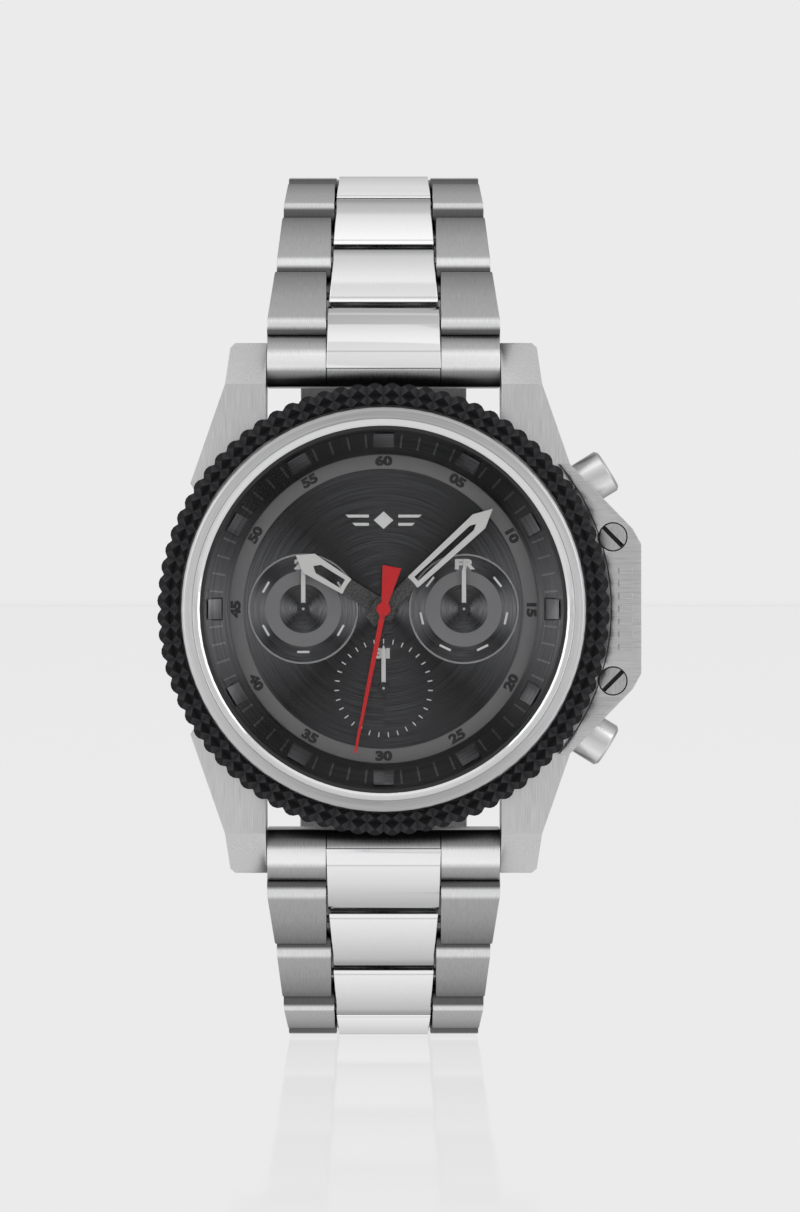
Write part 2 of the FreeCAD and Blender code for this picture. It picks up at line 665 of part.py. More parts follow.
def make_cover():
    """Curved cover with side walls, two cheeks for the spring bar and a hinge eye at the other end."""
    half = clasp_half_width
    start, end = upper_hinge_along, cover_end_along
    cover = arc_plate(start, end, cover_low, cover_high, -half, half)
    below, above = cover_low - 1, cover_high + 1
    cover = cover.cut(arc_plate(lower_hinge_along + 0.5, end + 1, below, above, -cheek_inner, cheek_inner))
    room = (2.15, blade_half_width + 0.2)
    eye_room = clasp_rod(upper_hinge_radius + 0.15, upper_hinge_along, upper_hinge_out, *room)
    corner_room = arc_plate(start - 0.1, start + 1.0, below, above, *room)
    eye = clasp_rod(upper_hinge_radius, upper_hinge_along, upper_hinge_out, -2.15, 2.15)
    for room in (eye_room, corner_room):
        cover = cover.cut(room).cut(flip_x(room))
    cover = cover.fuse(eye)
    for x0, x1 in ((half - cover_wall, half), (cheek_inner, half - cover_wall)):
        first = start if x1 == half else clasp_length - 3.5
        wall = arc_plate(first, end, inner_blade_low, cover_low, x0, x1)
        cover = cover.fuse(wall).fuse(flip_x(wall))
    cover = cover.cut(clasp_rod(clasp_pin_radius + pin_gap, upper_hinge_along, upper_hinge_out, -2.2, 2.2))
    cover = cover.cut(clasp_rod(link_pin_radius + 0.05, clasp_length, 0, -6.5, 6.5))
    return cover.cut(clasp_rod(button_radius + 0.06, button_along, button_out, -12, 12)).removeSplitter()


def make_button():
    half = clasp_half_width
    button = clasp_rod(button_radius, button_along, button_out, half - 1.6, half + button_stand_out)
    wall = half - cover_wall
    return button.fuse(clasp_rod(button_radius + 0.25, button_along, button_out, wall - 0.7, wall - 0.1))


def main():
    os.makedirs("parts", exist_ok=True)
    markers = make_markers()
    save("case_middle", [make_case_middle()])
    save("case_back", [make_case_back()])
    save("case_back_gasket", [ring(18.33, 17.87, case_low, case_low + 0.45)])
    save("bezel_ring", [make_bezel()])
    save("knurled_ring", [make_knurled_ring()])
    save("crystal", [turned([(0, crystal_low), (crystal_radius, crystal_low), (crystal_radius, crystal_high - 0.15),
                             (crystal_radius - 0.15, crystal_high), (0, crystal_high)])])
    save("crystal_gasket", [ring(18.57, crystal_radius + 0.02, crystal_low, crystal_high - 0.45)])
    save("hour_markers", markers)
    save("rehaut_ring", [make_rehaut(markers)])
    save("dial", [make_dial()])
    save("dial_rings", make_dial_rings())
    save("crown_guard", [make_guard()])
    save("guard_screws", [make_guard_screw(screw_z, -45), make_guard_screw(-screw_z, 45)])
    save("crown", [make_crown()])
    save("winding_stem", [make_stem()])
    save("setting_lever", [make_setting_lever()])
    save("case_tubes", [make_tube(0, crown_height, stem_radius + pin_gap),
                        make_tube(pusher_angle, pusher_height, pusher_stem_radius + pin_gap),
                        make_tube(-pusher_angle, pusher_height, pusher_stem_radius + pin_gap)])
    save("pusher_upper", [make_pusher(pusher_angle)])
    save("pusher_lower", [make_pusher(-pusher_angle)])
    save("pusher_springs", [make_spring(pusher_angle), make_spring(-pusher_angle)])
    hour = skeleton_hand(10.5, 8.94, 4.46, 2.28, 1.0, 8.4, 8.45, 8.75, 0.96, 1.3)
    save("hour_hand", [turn(hour, 301.4)])
    minute = skeleton_hand(15.1, 13.2, 4.07, 1.9, 0.6, 12.8, 9.1, 9.4, 0.56, 1.9)
    save("minute_hand", [turn(minute, 47.4)])
    seconds, arbor = make_seconds_hand()
    save("seconds_hand", [turn(seconds, 191.2), arbor])
    save("hand_24h", make_small_hand(-sub_centre_x, 0))
    save("hand_day", make_small_hand(sub_centre_x, 0))
    save("hand_date", make_small_hand(0, -sub_centre_z))
    save("hour_wheel", [make_hour_wheel()])
    save("cannon_pinion", [make_cannon_pinion()])
    save("minute_wheel", [make_minute_wheel()])
    save("movement_holder", [make_holder()])
    save("main_plate", [make_main_plate()])
    save("circuit_board", make_circuit())
    save("battery", [rod(4.75, 1.95, 4.0, -5.5, -5.5)])
    bar = make_spring_bar()
    save("lug_spring_bars", [bar, flip_z(bar)])
    end_link = make_end_link()
    save("end_link_12", end_link)
    save("end_link_6", [flip_z(solid) for solid in end_link])
    for i, tilt in enumerate(tilts_12):
        solids = make_link(i + 1, False, False)
        save("link_12_%02d" % (i + 1), place_link(solids, tilt, hinges_12[i], False))
    for i, tilt in enumerate(tilts_6):
        last = i == len(tilts_6) - 1
        solids = make_link(i + 1, last, last)
        save("link_6_%02d" % (i + 1), place_link(solids, tilt, hinges_6[i], True))
    save("clasp_inner_blade", make_inner_blade())
    save("clasp_middle_blade", make_middle_blade())
    save("clasp_cover", [make_cover()])
    button = make_button()
    save("clasp_button_right", [button])
    save("clasp_button_left", [flip_x(button)])


main()
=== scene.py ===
import json
import math

import bmesh
import bpy
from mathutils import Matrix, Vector


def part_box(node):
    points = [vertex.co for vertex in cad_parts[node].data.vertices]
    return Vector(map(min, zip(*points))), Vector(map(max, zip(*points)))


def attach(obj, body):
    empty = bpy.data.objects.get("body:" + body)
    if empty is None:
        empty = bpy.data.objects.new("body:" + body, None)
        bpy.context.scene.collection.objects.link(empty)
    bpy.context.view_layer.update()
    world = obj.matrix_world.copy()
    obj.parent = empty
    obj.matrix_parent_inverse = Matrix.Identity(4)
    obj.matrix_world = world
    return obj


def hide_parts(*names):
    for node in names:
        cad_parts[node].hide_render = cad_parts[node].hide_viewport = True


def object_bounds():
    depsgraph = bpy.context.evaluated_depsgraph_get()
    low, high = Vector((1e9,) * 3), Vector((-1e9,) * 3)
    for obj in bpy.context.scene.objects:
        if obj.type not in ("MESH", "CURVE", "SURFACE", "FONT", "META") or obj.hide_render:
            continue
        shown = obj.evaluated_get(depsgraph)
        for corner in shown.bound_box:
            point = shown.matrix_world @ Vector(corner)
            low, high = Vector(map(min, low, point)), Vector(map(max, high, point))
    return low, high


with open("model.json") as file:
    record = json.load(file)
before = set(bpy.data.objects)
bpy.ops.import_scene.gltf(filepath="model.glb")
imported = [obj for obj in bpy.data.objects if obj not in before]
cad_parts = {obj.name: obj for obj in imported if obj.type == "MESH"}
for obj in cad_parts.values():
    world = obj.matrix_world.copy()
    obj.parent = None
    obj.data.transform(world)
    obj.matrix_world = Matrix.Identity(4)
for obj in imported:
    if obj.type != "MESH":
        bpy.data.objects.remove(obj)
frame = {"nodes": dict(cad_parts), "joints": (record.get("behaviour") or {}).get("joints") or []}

bl_info = {
    "name": "Link bracelet wristwatch",
    "version": (1, 0, 0),
    "blender": (4, 5, 0),
    "location": "View3D > Sidebar > Watch",
    "description": "Builds the looks of a multifunction wristwatch round its CAD frame",
    "category": "Object",
}

CAD_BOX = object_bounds()
MM = 0.001
HINGES = {joint["name"]: joint for joint in frame["joints"]}


# ---- sizes and colours ----
def length_setting(name, description, millimetres):
    return bpy.props.FloatProperty(name=name, description=description, default=millimetres * MM,
                                   unit="LENGTH", precision=5, min=0.0)


def colour_setting(name, description, red, green, blue):
    return bpy.props.FloatVectorProperty(name=name, description=description, subtype="COLOR", size=3,
                                         default=(red, green, blue), min=0.0, max=1.0)


class WatchSizes(bpy.types.PropertyGroup):
    link_edge: length_setting("Link edge", "Rounding of the bracelet's edges", 0.13)
    link_nose: length_setting("Link nose", "Rounding of the end of a row that faces the case", 0.42)
    middle_crown: length_setting("Middle crown", "How far a middle piece bulges", 0.22)
    case_edge: length_setting("Case edge", "Rounding of the case's edges", 0.16)
    numeral_height: length_setting("Numeral height", "Height of the minute numerals", 0.92)
    label_height: length_setting("Label height", "Height of the small dials' labels", 0.95)


class WatchColours(bpy.types.PropertyGroup):
    brushed: colour_setting("Brushed steel", "Steel with a brushed finish", 0.50, 0.50, 0.505)
    polished: colour_setting("Polished steel", "Steel with a mirror finish", 0.86, 0.86, 0.87)
    ring: colour_setting("Black plating", "The knurled ring", 0.012, 0.012, 0.013)
    dial: colour_setting("Dial", "The dial's plating", 0.036, 0.036, 0.038)
    hands: colour_setting("Hands", "Lacquer on the hands", 0.56, 0.56, 0.55)
    red: colour_setting("Seconds hand", "Red lacquer", 0.5, 0.0, 0.003)
    floor: colour_setting("Floor", "Floor and backdrop", 0.83, 0.83, 0.83)


def sizes():
    return bpy.context.scene.watch_sizes


def colours():
    return bpy.context.scene.watch_colours


# ---- shared shader effects ----
def new_group(name, inputs, outputs):
    """A node group with float or vector inputs and outputs; returns it with its two end nodes."""
    group = bpy.data.node_groups.new(name, "ShaderNodeTree")
    for label, kind, value in inputs:
        socket = group.interface.new_socket(label, in_out="INPUT", socket_type=kind)
        if value is not None:
            socket.default_value = value
    for label, kind in outputs:
        group.interface.new_socket(label, in_out="OUTPUT", socket_type=kind)
    return group, group.nodes.new("NodeGroupInput"), group.nodes.new("NodeGroupOutput")


def link(tree, source, target):
    tree.links.new(source, target)


def math_node(tree, operation, first, second=None, third=None):
    node = tree.nodes.new("ShaderNodeMath")
    node.operation = operation
    for socket, value in zip(node.inputs, (first, second, third)):
        if value is None:
            continue
        if isinstance(value, (int, float)):
            socket.default_value = value
        else:
            link(tree, value, socket)
    return node.outputs[0]


def vector_node(tree, operation, first, second=None):
    node = tree.nodes.new("ShaderNodeVectorMath")
    node.operation = operation
    for socket, value in zip(node.inputs, (first, second)):
        if isinstance(value, tuple):
            socket.default_value = value
        elif value is not None:
            link(tree, value, socket)
    return node.outputs["Value" if operation == "DOT_PRODUCT" else "Vector"]


def split(tree, value):
    """The x, y and z of a vector."""
    node = tree.nodes.new("ShaderNodeSeparateXYZ")
    link(tree, value, node.inputs[0])
    return node.outputs


def stretched(tree, value):
    """Noise spread over the whole range from 0 to 1."""
    height = math_node(tree, "MULTIPLY_ADD", value, 2.4, -0.7)
    height.node.use_clamp = True
    return height


def straight_brushing():
    """Fine parallel lines: noise stretched by a scale along each axis."""
    name = "straight brushing"
    if name in bpy.data.node_groups:
        return bpy.data.node_groups[name]
    group, start, end = new_group(
        name,
        [("Vector", "NodeSocketVector", None), ("Scale", "NodeSocketVector", (9000.0, 9000.0, 500.0)),
         ("Low", "NodeSocketFloat", 0.25), ("High", "NodeSocketFloat", 0.45)],
        [("Roughness", "NodeSocketFloat"), ("Height", "NodeSocketFloat")])
    scaled = vector_node(group, "MULTIPLY", start.outputs["Vector"], start.outputs["Scale"])
    fine = group.nodes.new("ShaderNodeTexNoise")
    fine.inputs["Scale"].default_value = 1.0
    fine.inputs["Detail"].default_value = 3.0
    link(group, scaled, fine.inputs["Vector"])
    height = stretched(group, fine.outputs[0])
    spread = math_node(group, "SUBTRACT", start.outputs["High"], start.outputs["Low"])
    rough = math_node(group, "MULTIPLY_ADD", height, spread, start.outputs["Low"])
    link(group, rough, end.inputs["Roughness"])
    link(group, height, end.inputs["Height"])
    return group


def round_brushing():
    """Fine rings about a centre, brushing in circles; also gives the distance from the centre and a wedge by
    angle that places painted highlights at left and right.
    """
    name = "round brushing"
    if name in bpy.data.node_groups:
        return bpy.data.node_groups[name]
    group, start, end = new_group(
        name,
        [("Vector", "NodeSocketVector", None), ("Centre", "NodeSocketVector", (0.0, 0.0, 0.0)),
         ("Lines", "NodeSocketFloat", 9000.0)],
        [("Height", "NodeSocketFloat"), ("Distance", "NodeSocketFloat"), ("Highlight wedge", "NodeSocketFloat")])
    parts = split(group, vector_node(group, "SUBTRACT", start.outputs["Vector"], start.outputs["Centre"]))
    square_x = math_node(group, "MULTIPLY", parts[0], parts[0])
    square_z = math_node(group, "MULTIPLY", parts[2], parts[2])
    distance = math_node(group, "SQRT", math_node(group, "ADD", square_x, square_z))
    angle = math_node(group, "ARCTAN2", parts[0], parts[2])
    polar = group.nodes.new("ShaderNodeCombineXYZ")
    link(group, math_node(group, "MULTIPLY", distance, start.outputs["Lines"]), polar.inputs[0])
    link(group, math_node(group, "MULTIPLY", angle, 1.5), polar.inputs[1])
    fine = group.nodes.new("ShaderNodeTexNoise")
    fine.inputs["Scale"].default_value = 1.0
    fine.inputs["Detail"].default_value = 3.0
    link(group, polar.outputs[0], fine.inputs["Vector"])
    # wedge by angle about the centre: places painted highlights at left and right and painted shade at top
    # and bottom
    highlight_wedge = math_node(group, "COSINE", math_node(group, "MULTIPLY", angle, 2.0))
    link(group, stretched(group, fine.outputs[0]), end.inputs["Height"])
    link(group, distance, end.inputs["Distance"])
    link(group, highlight_wedge, end.inputs["Highlight wedge"])
    return group


def fine_grain():
    """A small even grain for lacquer, plastic and matte plating."""
    name = "fine grain"
    if name in bpy.data.node_groups:
        return bpy.data.node_groups[name]
    group, start, end = new_group(
        name, [("Vector", "NodeSocketVector", None), ("Scale", "NodeSocketFloat", 9000.0),
               ("Low", "NodeSocketFloat", 0.4), ("High", "NodeSocketFloat", 0.6)],
        [("Roughness", "NodeSocketFloat"), ("Height", "NodeSocketFloat")])
    noise = group.nodes.new("ShaderNodeTexNoise")
    noise.inputs["Detail"].default_value = 2.0
    link(group, start.outputs["Vector"], noise.inputs["Vector"])
    link(group, start.outputs["Scale"], noise.inputs["Scale"])
    spread = math_node(group, "SUBTRACT", start.outputs["High"], start.outputs["Low"])
    link(group, math_node(group, "MULTIPLY_ADD", noise.outputs[0], spread, start.outputs["Low"]),
         end.inputs["Roughness"])
    link(group, noise.outputs[0], end.inputs["Height"])
    return group


# ---- materials ----
def blank_material(name, colour, metallic, roughness):
    """A new material; returns its node tree, its shader and the coordinates to lay effects by."""
    material = bpy.data.materials.new(name)
    material.use_nodes = True
    tree = material.node_tree
    shader = tree.nodes["Principled BSDF"]
    shader.inputs["Base Color"].default_value = (*colour, 1.0)
    shader.inputs["Metallic"].default_value = metallic
    shader.inputs["Roughness"].default_value = roughness
    place = tree.nodes.new("ShaderNodeTexCoord")
    return tree, shader, place.outputs["Object"]


def add_group(tree, group, place, **values):
    """A shared effect laid out by the given coordinates."""
    node = tree.nodes.new("ShaderNodeGroup")
    node.node_tree = group
    link(tree, place, node.inputs["Vector"])
    for label, value in values.items():
        node.inputs[label].default_value = value
    return node


def add_surface(tree, shader, group, place, **values):
    """A shared effect that also sets how rough the surface is."""
    node = add_group(tree, group, place, **values)
    link(tree, node.outputs["Roughness"], shader.inputs["Roughness"])
    return node


def add_bump(tree, shader, height, strength, distance):
    bump = tree.nodes.new("ShaderNodeBump")
    bump.inputs["Strength"].default_value = strength
    bump.inputs["Distance"].default_value = distance * MM
    link(tree, height, bump.inputs["Height"])
    link(tree, bump.outputs[0], shader.inputs["Normal"])


def mix_colour(tree, factor, first, second):
    node = tree.nodes.new("ShaderNodeMix")
    node.data_type = "RGBA"
    for socket, value in ((node.inputs[0], factor), (node.inputs[6], first), (node.inputs[7], second)):
        if isinstance(value, tuple):
            socket.default_value = (*value, 1.0)
        elif isinstance(value, (int, float)):
            socket.default_value = value
        else:
            link(tree, value, socket)
    return node.outputs[2]


def ramp(tree, value, low, high, stops):
    """A grey that follows a value between low and high through the given stops."""
    scaled = math_node(tree, "MULTIPLY_ADD", value, 1.0 / (high - low), -low / (high - low))
    node = tree.nodes.new("ShaderNodeValToRGB")
    link(tree, scaled, node.inputs[0])
    elements = node.color_ramp.elements
    while len(elements) < len(stops):
        elements.new(0.5)
    for element, (place, tone) in zip(elements, stops):
        element.position = (place - low) / (high - low)
        element.color = (tone, tone, tone, 1.0)
    return node.outputs[0]


def times(tree, first, second):
    """Two colours multiplied."""
    node = tree.nodes.new("ShaderNodeMix")
    node.data_type = "RGBA"
    node.blend_type = "MULTIPLY"
    node.inputs[0].default_value = 1.0
    link(tree, first, node.inputs[6])
    link(tree, second, node.inputs[7])
    return node.outputs[2]


def shade(colour, amount):
    return tuple(min(1.0, part * amount) for part in colour)


def graded(tree, effect, colour, low, high):
    """A colour that runs between two shades with the effect's lines or grain."""
    return mix_colour(tree, effect.outputs["Height"], shade(colour, low), shade(colour, high))


def cached(name, build):
    if name not in bpy.data.materials:
        build(name)
    return bpy.data.materials[name]


def brushed_steel(name="brushed steel", scale=(60000.0, 9000.0, 900.0), tone=1.0, low=0.26, high=0.42):
    """Steel brushed along the axis with the smallest scale."""
    def build(label):
        colour = shade(tuple(colours().brushed), tone)
        tree, shader, place = blank_material(label, colour, 1.0, 0.33)
        lines = add_surface(tree, shader, straight_brushing(), place, Scale=scale, Low=low, High=high)
        streaks = graded(tree, lines, colour, 0.82, 1.18)
        link(tree, streaks, shader.inputs["Base Color"])
        add_bump(tree, shader, lines.outputs["Height"], 0.35, 0.004)
    return cached(name, build)


def polished_steel():
    def build(label):
        colour = tuple(colours().polished)
        tree, shader, place = blank_material(label, colour, 1.0, 0.1)
        grain = add_surface(tree, shader, fine_grain(), place, Scale=1500.0, Low=0.06, High=0.16)
        link(tree, graded(tree, grain, colour, 0.96, 1.03),
             shader.inputs["Base Color"])
    return cached("polished steel", build)


def row_coordinates(tree):
    """Distance along a bracelet row from its hinge and outward from it, in millimetres."""
    place = tree.nodes.new("ShaderNodeUVMap")
    place.uv_map = "row"
    parts = split(tree, place.outputs[0])
    along = math_node(tree, "MULTIPLY_ADD", parts[0], 12.0, -3.0)
    out = math_node(tree, "MULTIPLY_ADD", parts[1], 4.0, -2.0)
    return along, out


def row_steel_painted_light(name, colour, stops, deep, brush):
    """Steel of a bracelet row with painted light in its colour: painted highlights and shade run along the
    row, and painted shade darkens it inside the gaps.
    """
    def build(label):
        tree, shader, place = blank_material(label, colour, 1.0, 0.2)
        low, high, contrast, depth = brush
        lines = add_surface(tree, shader, straight_brushing(), place, Scale=(30000.0, 1200.0, 1200.0),
                            Low=low, High=high)
        along, out = row_coordinates(tree)
        # painted light: the along-row ramp paints highlights and fall-off, the outward ramp paints shade
        # inside the gaps
        tone = times(tree, ramp(tree, along, -2.0, 9.0, stops), ramp(tree, out, -1.7, 1.8, deep))
        streaks = graded(tree, lines, colour, 1.0 - contrast, 1.0 + contrast)
        link(tree, times(tree, tone, streaks), shader.inputs["Base Color"])
        add_bump(tree, shader, lines.outputs["Height"], depth, 0.004)
    return cached(name, build)


def lacquer(name, colour, low=0.4, high=0.6, metallic=0.0, bump=0.15, scale=9000.0):
    """Painted, plated or moulded surface with a fine grain."""
    def build(label):
        tree, shader, place = blank_material(label, colour, metallic, (low + high) / 2)
        grain = add_surface(tree, shader, fine_grain(), place, Scale=scale, Low=low, High=high)
        link(tree, graded(tree, grain, colour, 0.85, 1.15),
             shader.inputs["Base Color"])
        add_bump(tree, shader, grain.outputs["Height"], bump, 0.01)
    return cached(name, build)


def ring_plating_painted_facets():
    """Black plating with painted light and shade by facet direction: facets that face along a radius stay
    deep black, those that face round are painted paler.
    """
    def build(label):
        colour = tuple(colours().ring)
        tree, shader, place = blank_material(label, colour, 0.0, 0.4)
        shader.inputs["Specular IOR Level"].default_value = 0.12
        grain = add_surface(tree, shader, fine_grain(), place, Scale=6000.0, Low=0.3, High=0.5)
        outward = vector_node(tree, "NORMALIZE", vector_node(tree, "MULTIPLY", place, (1.0, 0.0, 1.0)))
        across = vector_node(tree, "CROSS_PRODUCT", outward, (0.0, 1.0, 0.0))
        facing = tree.nodes.new("ShaderNodeNewGeometry")
        turned = vector_node(tree, "DOT_PRODUCT", across, facing.outputs["True Normal"])
        # painted light: facets turned round the ring get a paler painted colour
        side = math_node(tree, "MULTIPLY", math_node(tree, "ABSOLUTE", turned), 1.4)
        side.node.use_clamp = True
        pale = graded(tree, grain, colour, 2.5, 4.5)
        link(tree, mix_colour(tree, side, colour, pale), shader.inputs["Base Color"])
        add_bump(tree, shader, grain.outputs["Height"], 0.1, 0.01)
    return cached("black ring plating", build)


def bezel_steel():
    """Brushed in circles on the flat, with painted highlights at left and right and painted shade at top and
    bottom; polished on the inner slope, with one turned line between.
    """
    def build(label):
        colour = tuple(colours().polished)
        tree, shader, place = blank_material(label, colour, 1.0, 0.3)
        rings = add_group(tree, round_brushing(), place, Lines=16000.0)
        flat = math_node(tree, "GREATER_THAN", rings.outputs["Distance"], 19.3 * MM)
        rough = math_node(tree, "MULTIPLY_ADD", flat, 0.2, 0.1)
        link(tree, rough, shader.inputs["Roughness"])
        # painted highlight wedges: sides painted lighter at left and right, ends painted darker at top and
        # bottom
        highlight_wedge = math_node(tree, "MULTIPLY_ADD", rings.outputs["Highlight wedge"], -0.5, 0.5)
        sides = graded(tree, rings, colour, 0.72, 0.9)
        ends = graded(tree, rings, colour, 0.46, 0.62)
        line = math_node(tree, "COMPARE", rings.outputs["Distance"], 19.38 * MM, 0.035 * MM)
        tone = mix_colour(tree, line, mix_colour(tree, highlight_wedge, ends, sides), shade(colour, 0.4))
        link(tree, mix_colour(tree, flat, shade(colour, 0.9), tone), shader.inputs["Base Color"])
        add_bump(tree, shader, math_node(tree, "MULTIPLY", flat, rings.outputs["Height"]), 0.3, 0.004)
    return cached("bezel steel", build)


def plating_with_painted_wedges(name, colour, centre=(0.0, 0.0, 0.0), highlight_lift=0.5, rough=0.34, metallic=0.9):
    """Circular brushed plating with painted light in its colour: painted highlight wedges at left and right
    of the centre, painted shade on the diagonals between.
    """
    def build(label):
        tree, shader, place = blank_material(label, colour, metallic, rough)
        rings = add_group(tree, round_brushing(), place, Lines=8000.0, Centre=centre)
        highlight_wedge = math_node(tree, "MULTIPLY_ADD", rings.outputs["Highlight wedge"], -0.5, 0.5)
        # painted highlight: a narrow wedge at left and right of the centre
        sharp_highlight = math_node(tree, "POWER", highlight_wedge, 5.0)
        between = math_node(tree, "ABSOLUTE", rings.outputs["Highlight wedge"])
        painted_wedge_shade = mix_colour(tree, between, (0.6, 0.6, 0.6), (1.4, 1.4, 1.4))
        tone = graded(tree, rings, colour, 0.6, 1.45)
        # glow is the painted highlight colour, raised by highlight_lift
        glow = graded(tree, rings, colour, 0.7 + highlight_lift, 1.9 + 2 * highlight_lift)
        link(tree, mix_colour(tree, sharp_highlight, times(tree, painted_wedge_shade, tone), glow), shader.inputs["Base Color"])
        add_bump(tree, shader, rings.outputs["Height"], 0.5, 0.004)
    return cached(name, build)


def crystal_glass():
    def build(label):
        tree, shader, place = blank_material(label, (0.9, 0.92, 0.93), 0.0, 0.03)
        add_surface(tree, shader, fine_grain(), place, Scale=300.0, Low=0.02, High=0.04)
        shader.inputs["Transmission Weight"].default_value = 1.0
        shader.inputs["Alpha"].default_value = 0.06
        bpy.data.materials[label].surface_render_method = "BLENDED"
    return cached("crystal glass", build)


# ---- building pieces ----
def add_object(name, data):
    made = bpy.data.objects.new(name, data)
    bpy.context.scene.collection.objects.link(made)
    return made


def mesh_piece(name, shape, material, body):
    """A mesh from a shape's vertices (in millimetres) and faces, riding on a body."""
    vertices, faces = shape
    mesh = bpy.data.meshes.new(name)
    mesh.from_pydata([Vector(point) * MM for point in vertices], [], faces)
    tidy = bmesh.new()
    tidy.from_mesh(mesh)
    bmesh.ops.remove_doubles(tidy, verts=tidy.verts, dist=1e-7)
    bmesh.ops.recalc_face_normals(tidy, faces=tidy.faces)
    tidy.to_mesh(mesh)
    tidy.free()
    piece = add_object(name, mesh)
    mesh.materials.append(material)
    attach(piece, body)
    return piece


def round_edges(piece, width, segments=2, weld=False):
    """Bevelled edges with smooth shading that stays crisp on the flats."""
    if weld:
        join = piece.modifiers.new("weld", "WELD")
        join.merge_threshold = 2e-6
    bevel = piece.modifiers.new("edges", "BEVEL")
    bevel.width = width
    bevel.segments = segments
    bevel.limit_method = "ANGLE"
    bevel.angle_limit = math.radians(32)
    bevel.harden_normals = True
    for polygon in piece.data.polygons:
        polygon.use_smooth = True


def arc_points(centre, radius, start, end, count):
    """Points of an arc in a plane, angles in degrees."""
    points = []
    for i in range(count + 1):
        angle = math.radians(start + (end - start) * i / count)
        points.append((centre[0] + radius * math.cos(angle), centre[1] + radius * math.sin(angle)))
    return points


def swept(outline, sections):
    """Vertices and faces of an outline swept through sections; each section maps (a, b) to a point."""
    count = len(outline)
    vertices = [section(a, b) for section in sections for a, b in outline]
    faces = [tuple(range(count))[::-1], tuple(range(len(vertices) - count, len(vertices)))]
    for s in range(len(sections) - 1):
        for i in range(count):
            j = (i + 1) % count
            faces.append((s * count + i, s * count + j, (s + 1) * count + j, (s + 1) * count + i))
    return vertices, faces


def paint_cad(node, material, edge=0.0, segments=2):
    """Gives a CAD piece its finish and, where asked, softened edges."""
    piece = frame["nodes"][node]
    if piece.data.materials:
        for i in range(len(piece.data.materials)):
            piece.data.materials[i] = material
    else:
        piece.data.materials.append(material)
    if edge > 0.0:
        round_edges(piece, edge, segments, weld=True)


def flat_ring(inner, outer, low, high, centre, steps=96):
    """Vertices and faces of a flat ring about a centre (x, z), between two heights."""
    vertices, faces = [], []
    for i in range(steps):
        angle = math.radians(360.0 * i / steps)
        s, c = math.sin(angle), math.cos(angle)
        for radius, height in ((inner, low), (outer, low), (outer, high), (inner, high)):
            vertices.append((centre[0] + radius * s, -height, centre[1] + radius * c))
        j = (i + 1) % steps
        for k in range(4):
            m = (k + 1) % 4
            faces.append((4 * i + k, 4 * i + m, 4 * j + m, 4 * j + k))
    return vertices, faces


def join_parts(parts):
    """One list of vertices and faces from several."""
    vertices, faces = [], []
    for part_vertices, part_faces in parts:
        base = len(vertices)
        vertices.extend(part_vertices)
        faces.extend(tuple(index + base for index in face) for face in part_faces)
    return vertices, faces


def slab(outline, low, high):
    """An outline of (x, z) points between two heights."""
    return swept(outline, [lambda x, z: (x, -low, z), lambda x, z: (x, -high, z)])


def radial_bar(inner, outer, width, clock, low_in, low_out, thick, centre=(0.0, 0.0)):
    """A bar lying along a radius, following a slope from low_in to low_out."""
    angle = math.radians(clock)
    s, c = math.sin(angle), math.cos(angle)

    def place(side):
        def point(radius, height):
            return (centre[0] + radius * s + side * c, -height, centre[1] + radius * c - side * s)
        return point
    outline = [(inner, low_in), (outer, low_out), (outer, low_out + thick), (inner, low_in + thick)]
    return swept(outline, [place(-width / 2), place(width / 2)])


# ---- bracelet ----
LINK_OUTER = 1.7
LINK_INNER = 1.5
KNUCKLE = 1.97
KNUCKLE_GAP = 0.15
CENTRE_GAP = 0.45


def band_half(row):
    return 9.3 + 2.7 * math.exp(-row / 2.35)


def middle_half(row):
    return 0.487 * band_half(row - 1)


def hinge_point(name):
    place = HINGES[name]["pos_m"]
    return Vector((place[1], place[2])) / MM


def row_frame(start, end, side):
    """Directions along a row and outward from it, in the YZ plane."""
    along = (end - start).normalized()
    out = Vector((-along.y, along.x)) * side
    return along, out


def crown_line(start, end, drop, count):
    """A shallow arch from start to end along a row, drop lower at its ends than at its middle."""
    points = []
    for i in range(count + 1):
        t = i / count
        points.append((start + (end - start) * t, LINK_OUTER - drop * (2 * t - 1) ** 2))
    return points


def cut_angle(height, radius):
    """Degrees from the row's line to where a height cuts a circle."""
    return math.degrees(math.asin(height / radius))


def side_outline(pitch, last):
    nose = sizes().link_nose / MM
    gap_radius = KNUCKLE + KNUCKLE_GAP
    start = -math.sqrt(KNUCKLE ** 2 - LINK_OUTER ** 2)
    points = arc_points((0, 0), KNUCKLE, 180 + cut_angle(LINK_INNER, KNUCKLE), 132, 12)
    corner = Vector(points[-1])
    for i in range(1, 6):
        t = i / 5
        a = corner.lerp(Vector((start, LINK_OUTER)), t)
        b = Vector((start, LINK_OUTER)).lerp(Vector((start + nose * 1.6, LINK_OUTER)), t)
        points.append(tuple(a.lerp(b, t)))
    if last:
        points += [(pitch - 1.6, LINK_OUTER), (pitch - 1.6, -LINK_INNER)]
    else:
        high = cut_angle(LINK_OUTER, gap_radius)
        low = cut_angle(LINK_INNER, gap_radius)
        points += arc_points((pitch, 0), gap_radius, 180 - high, 180 + low, 12)
    return points


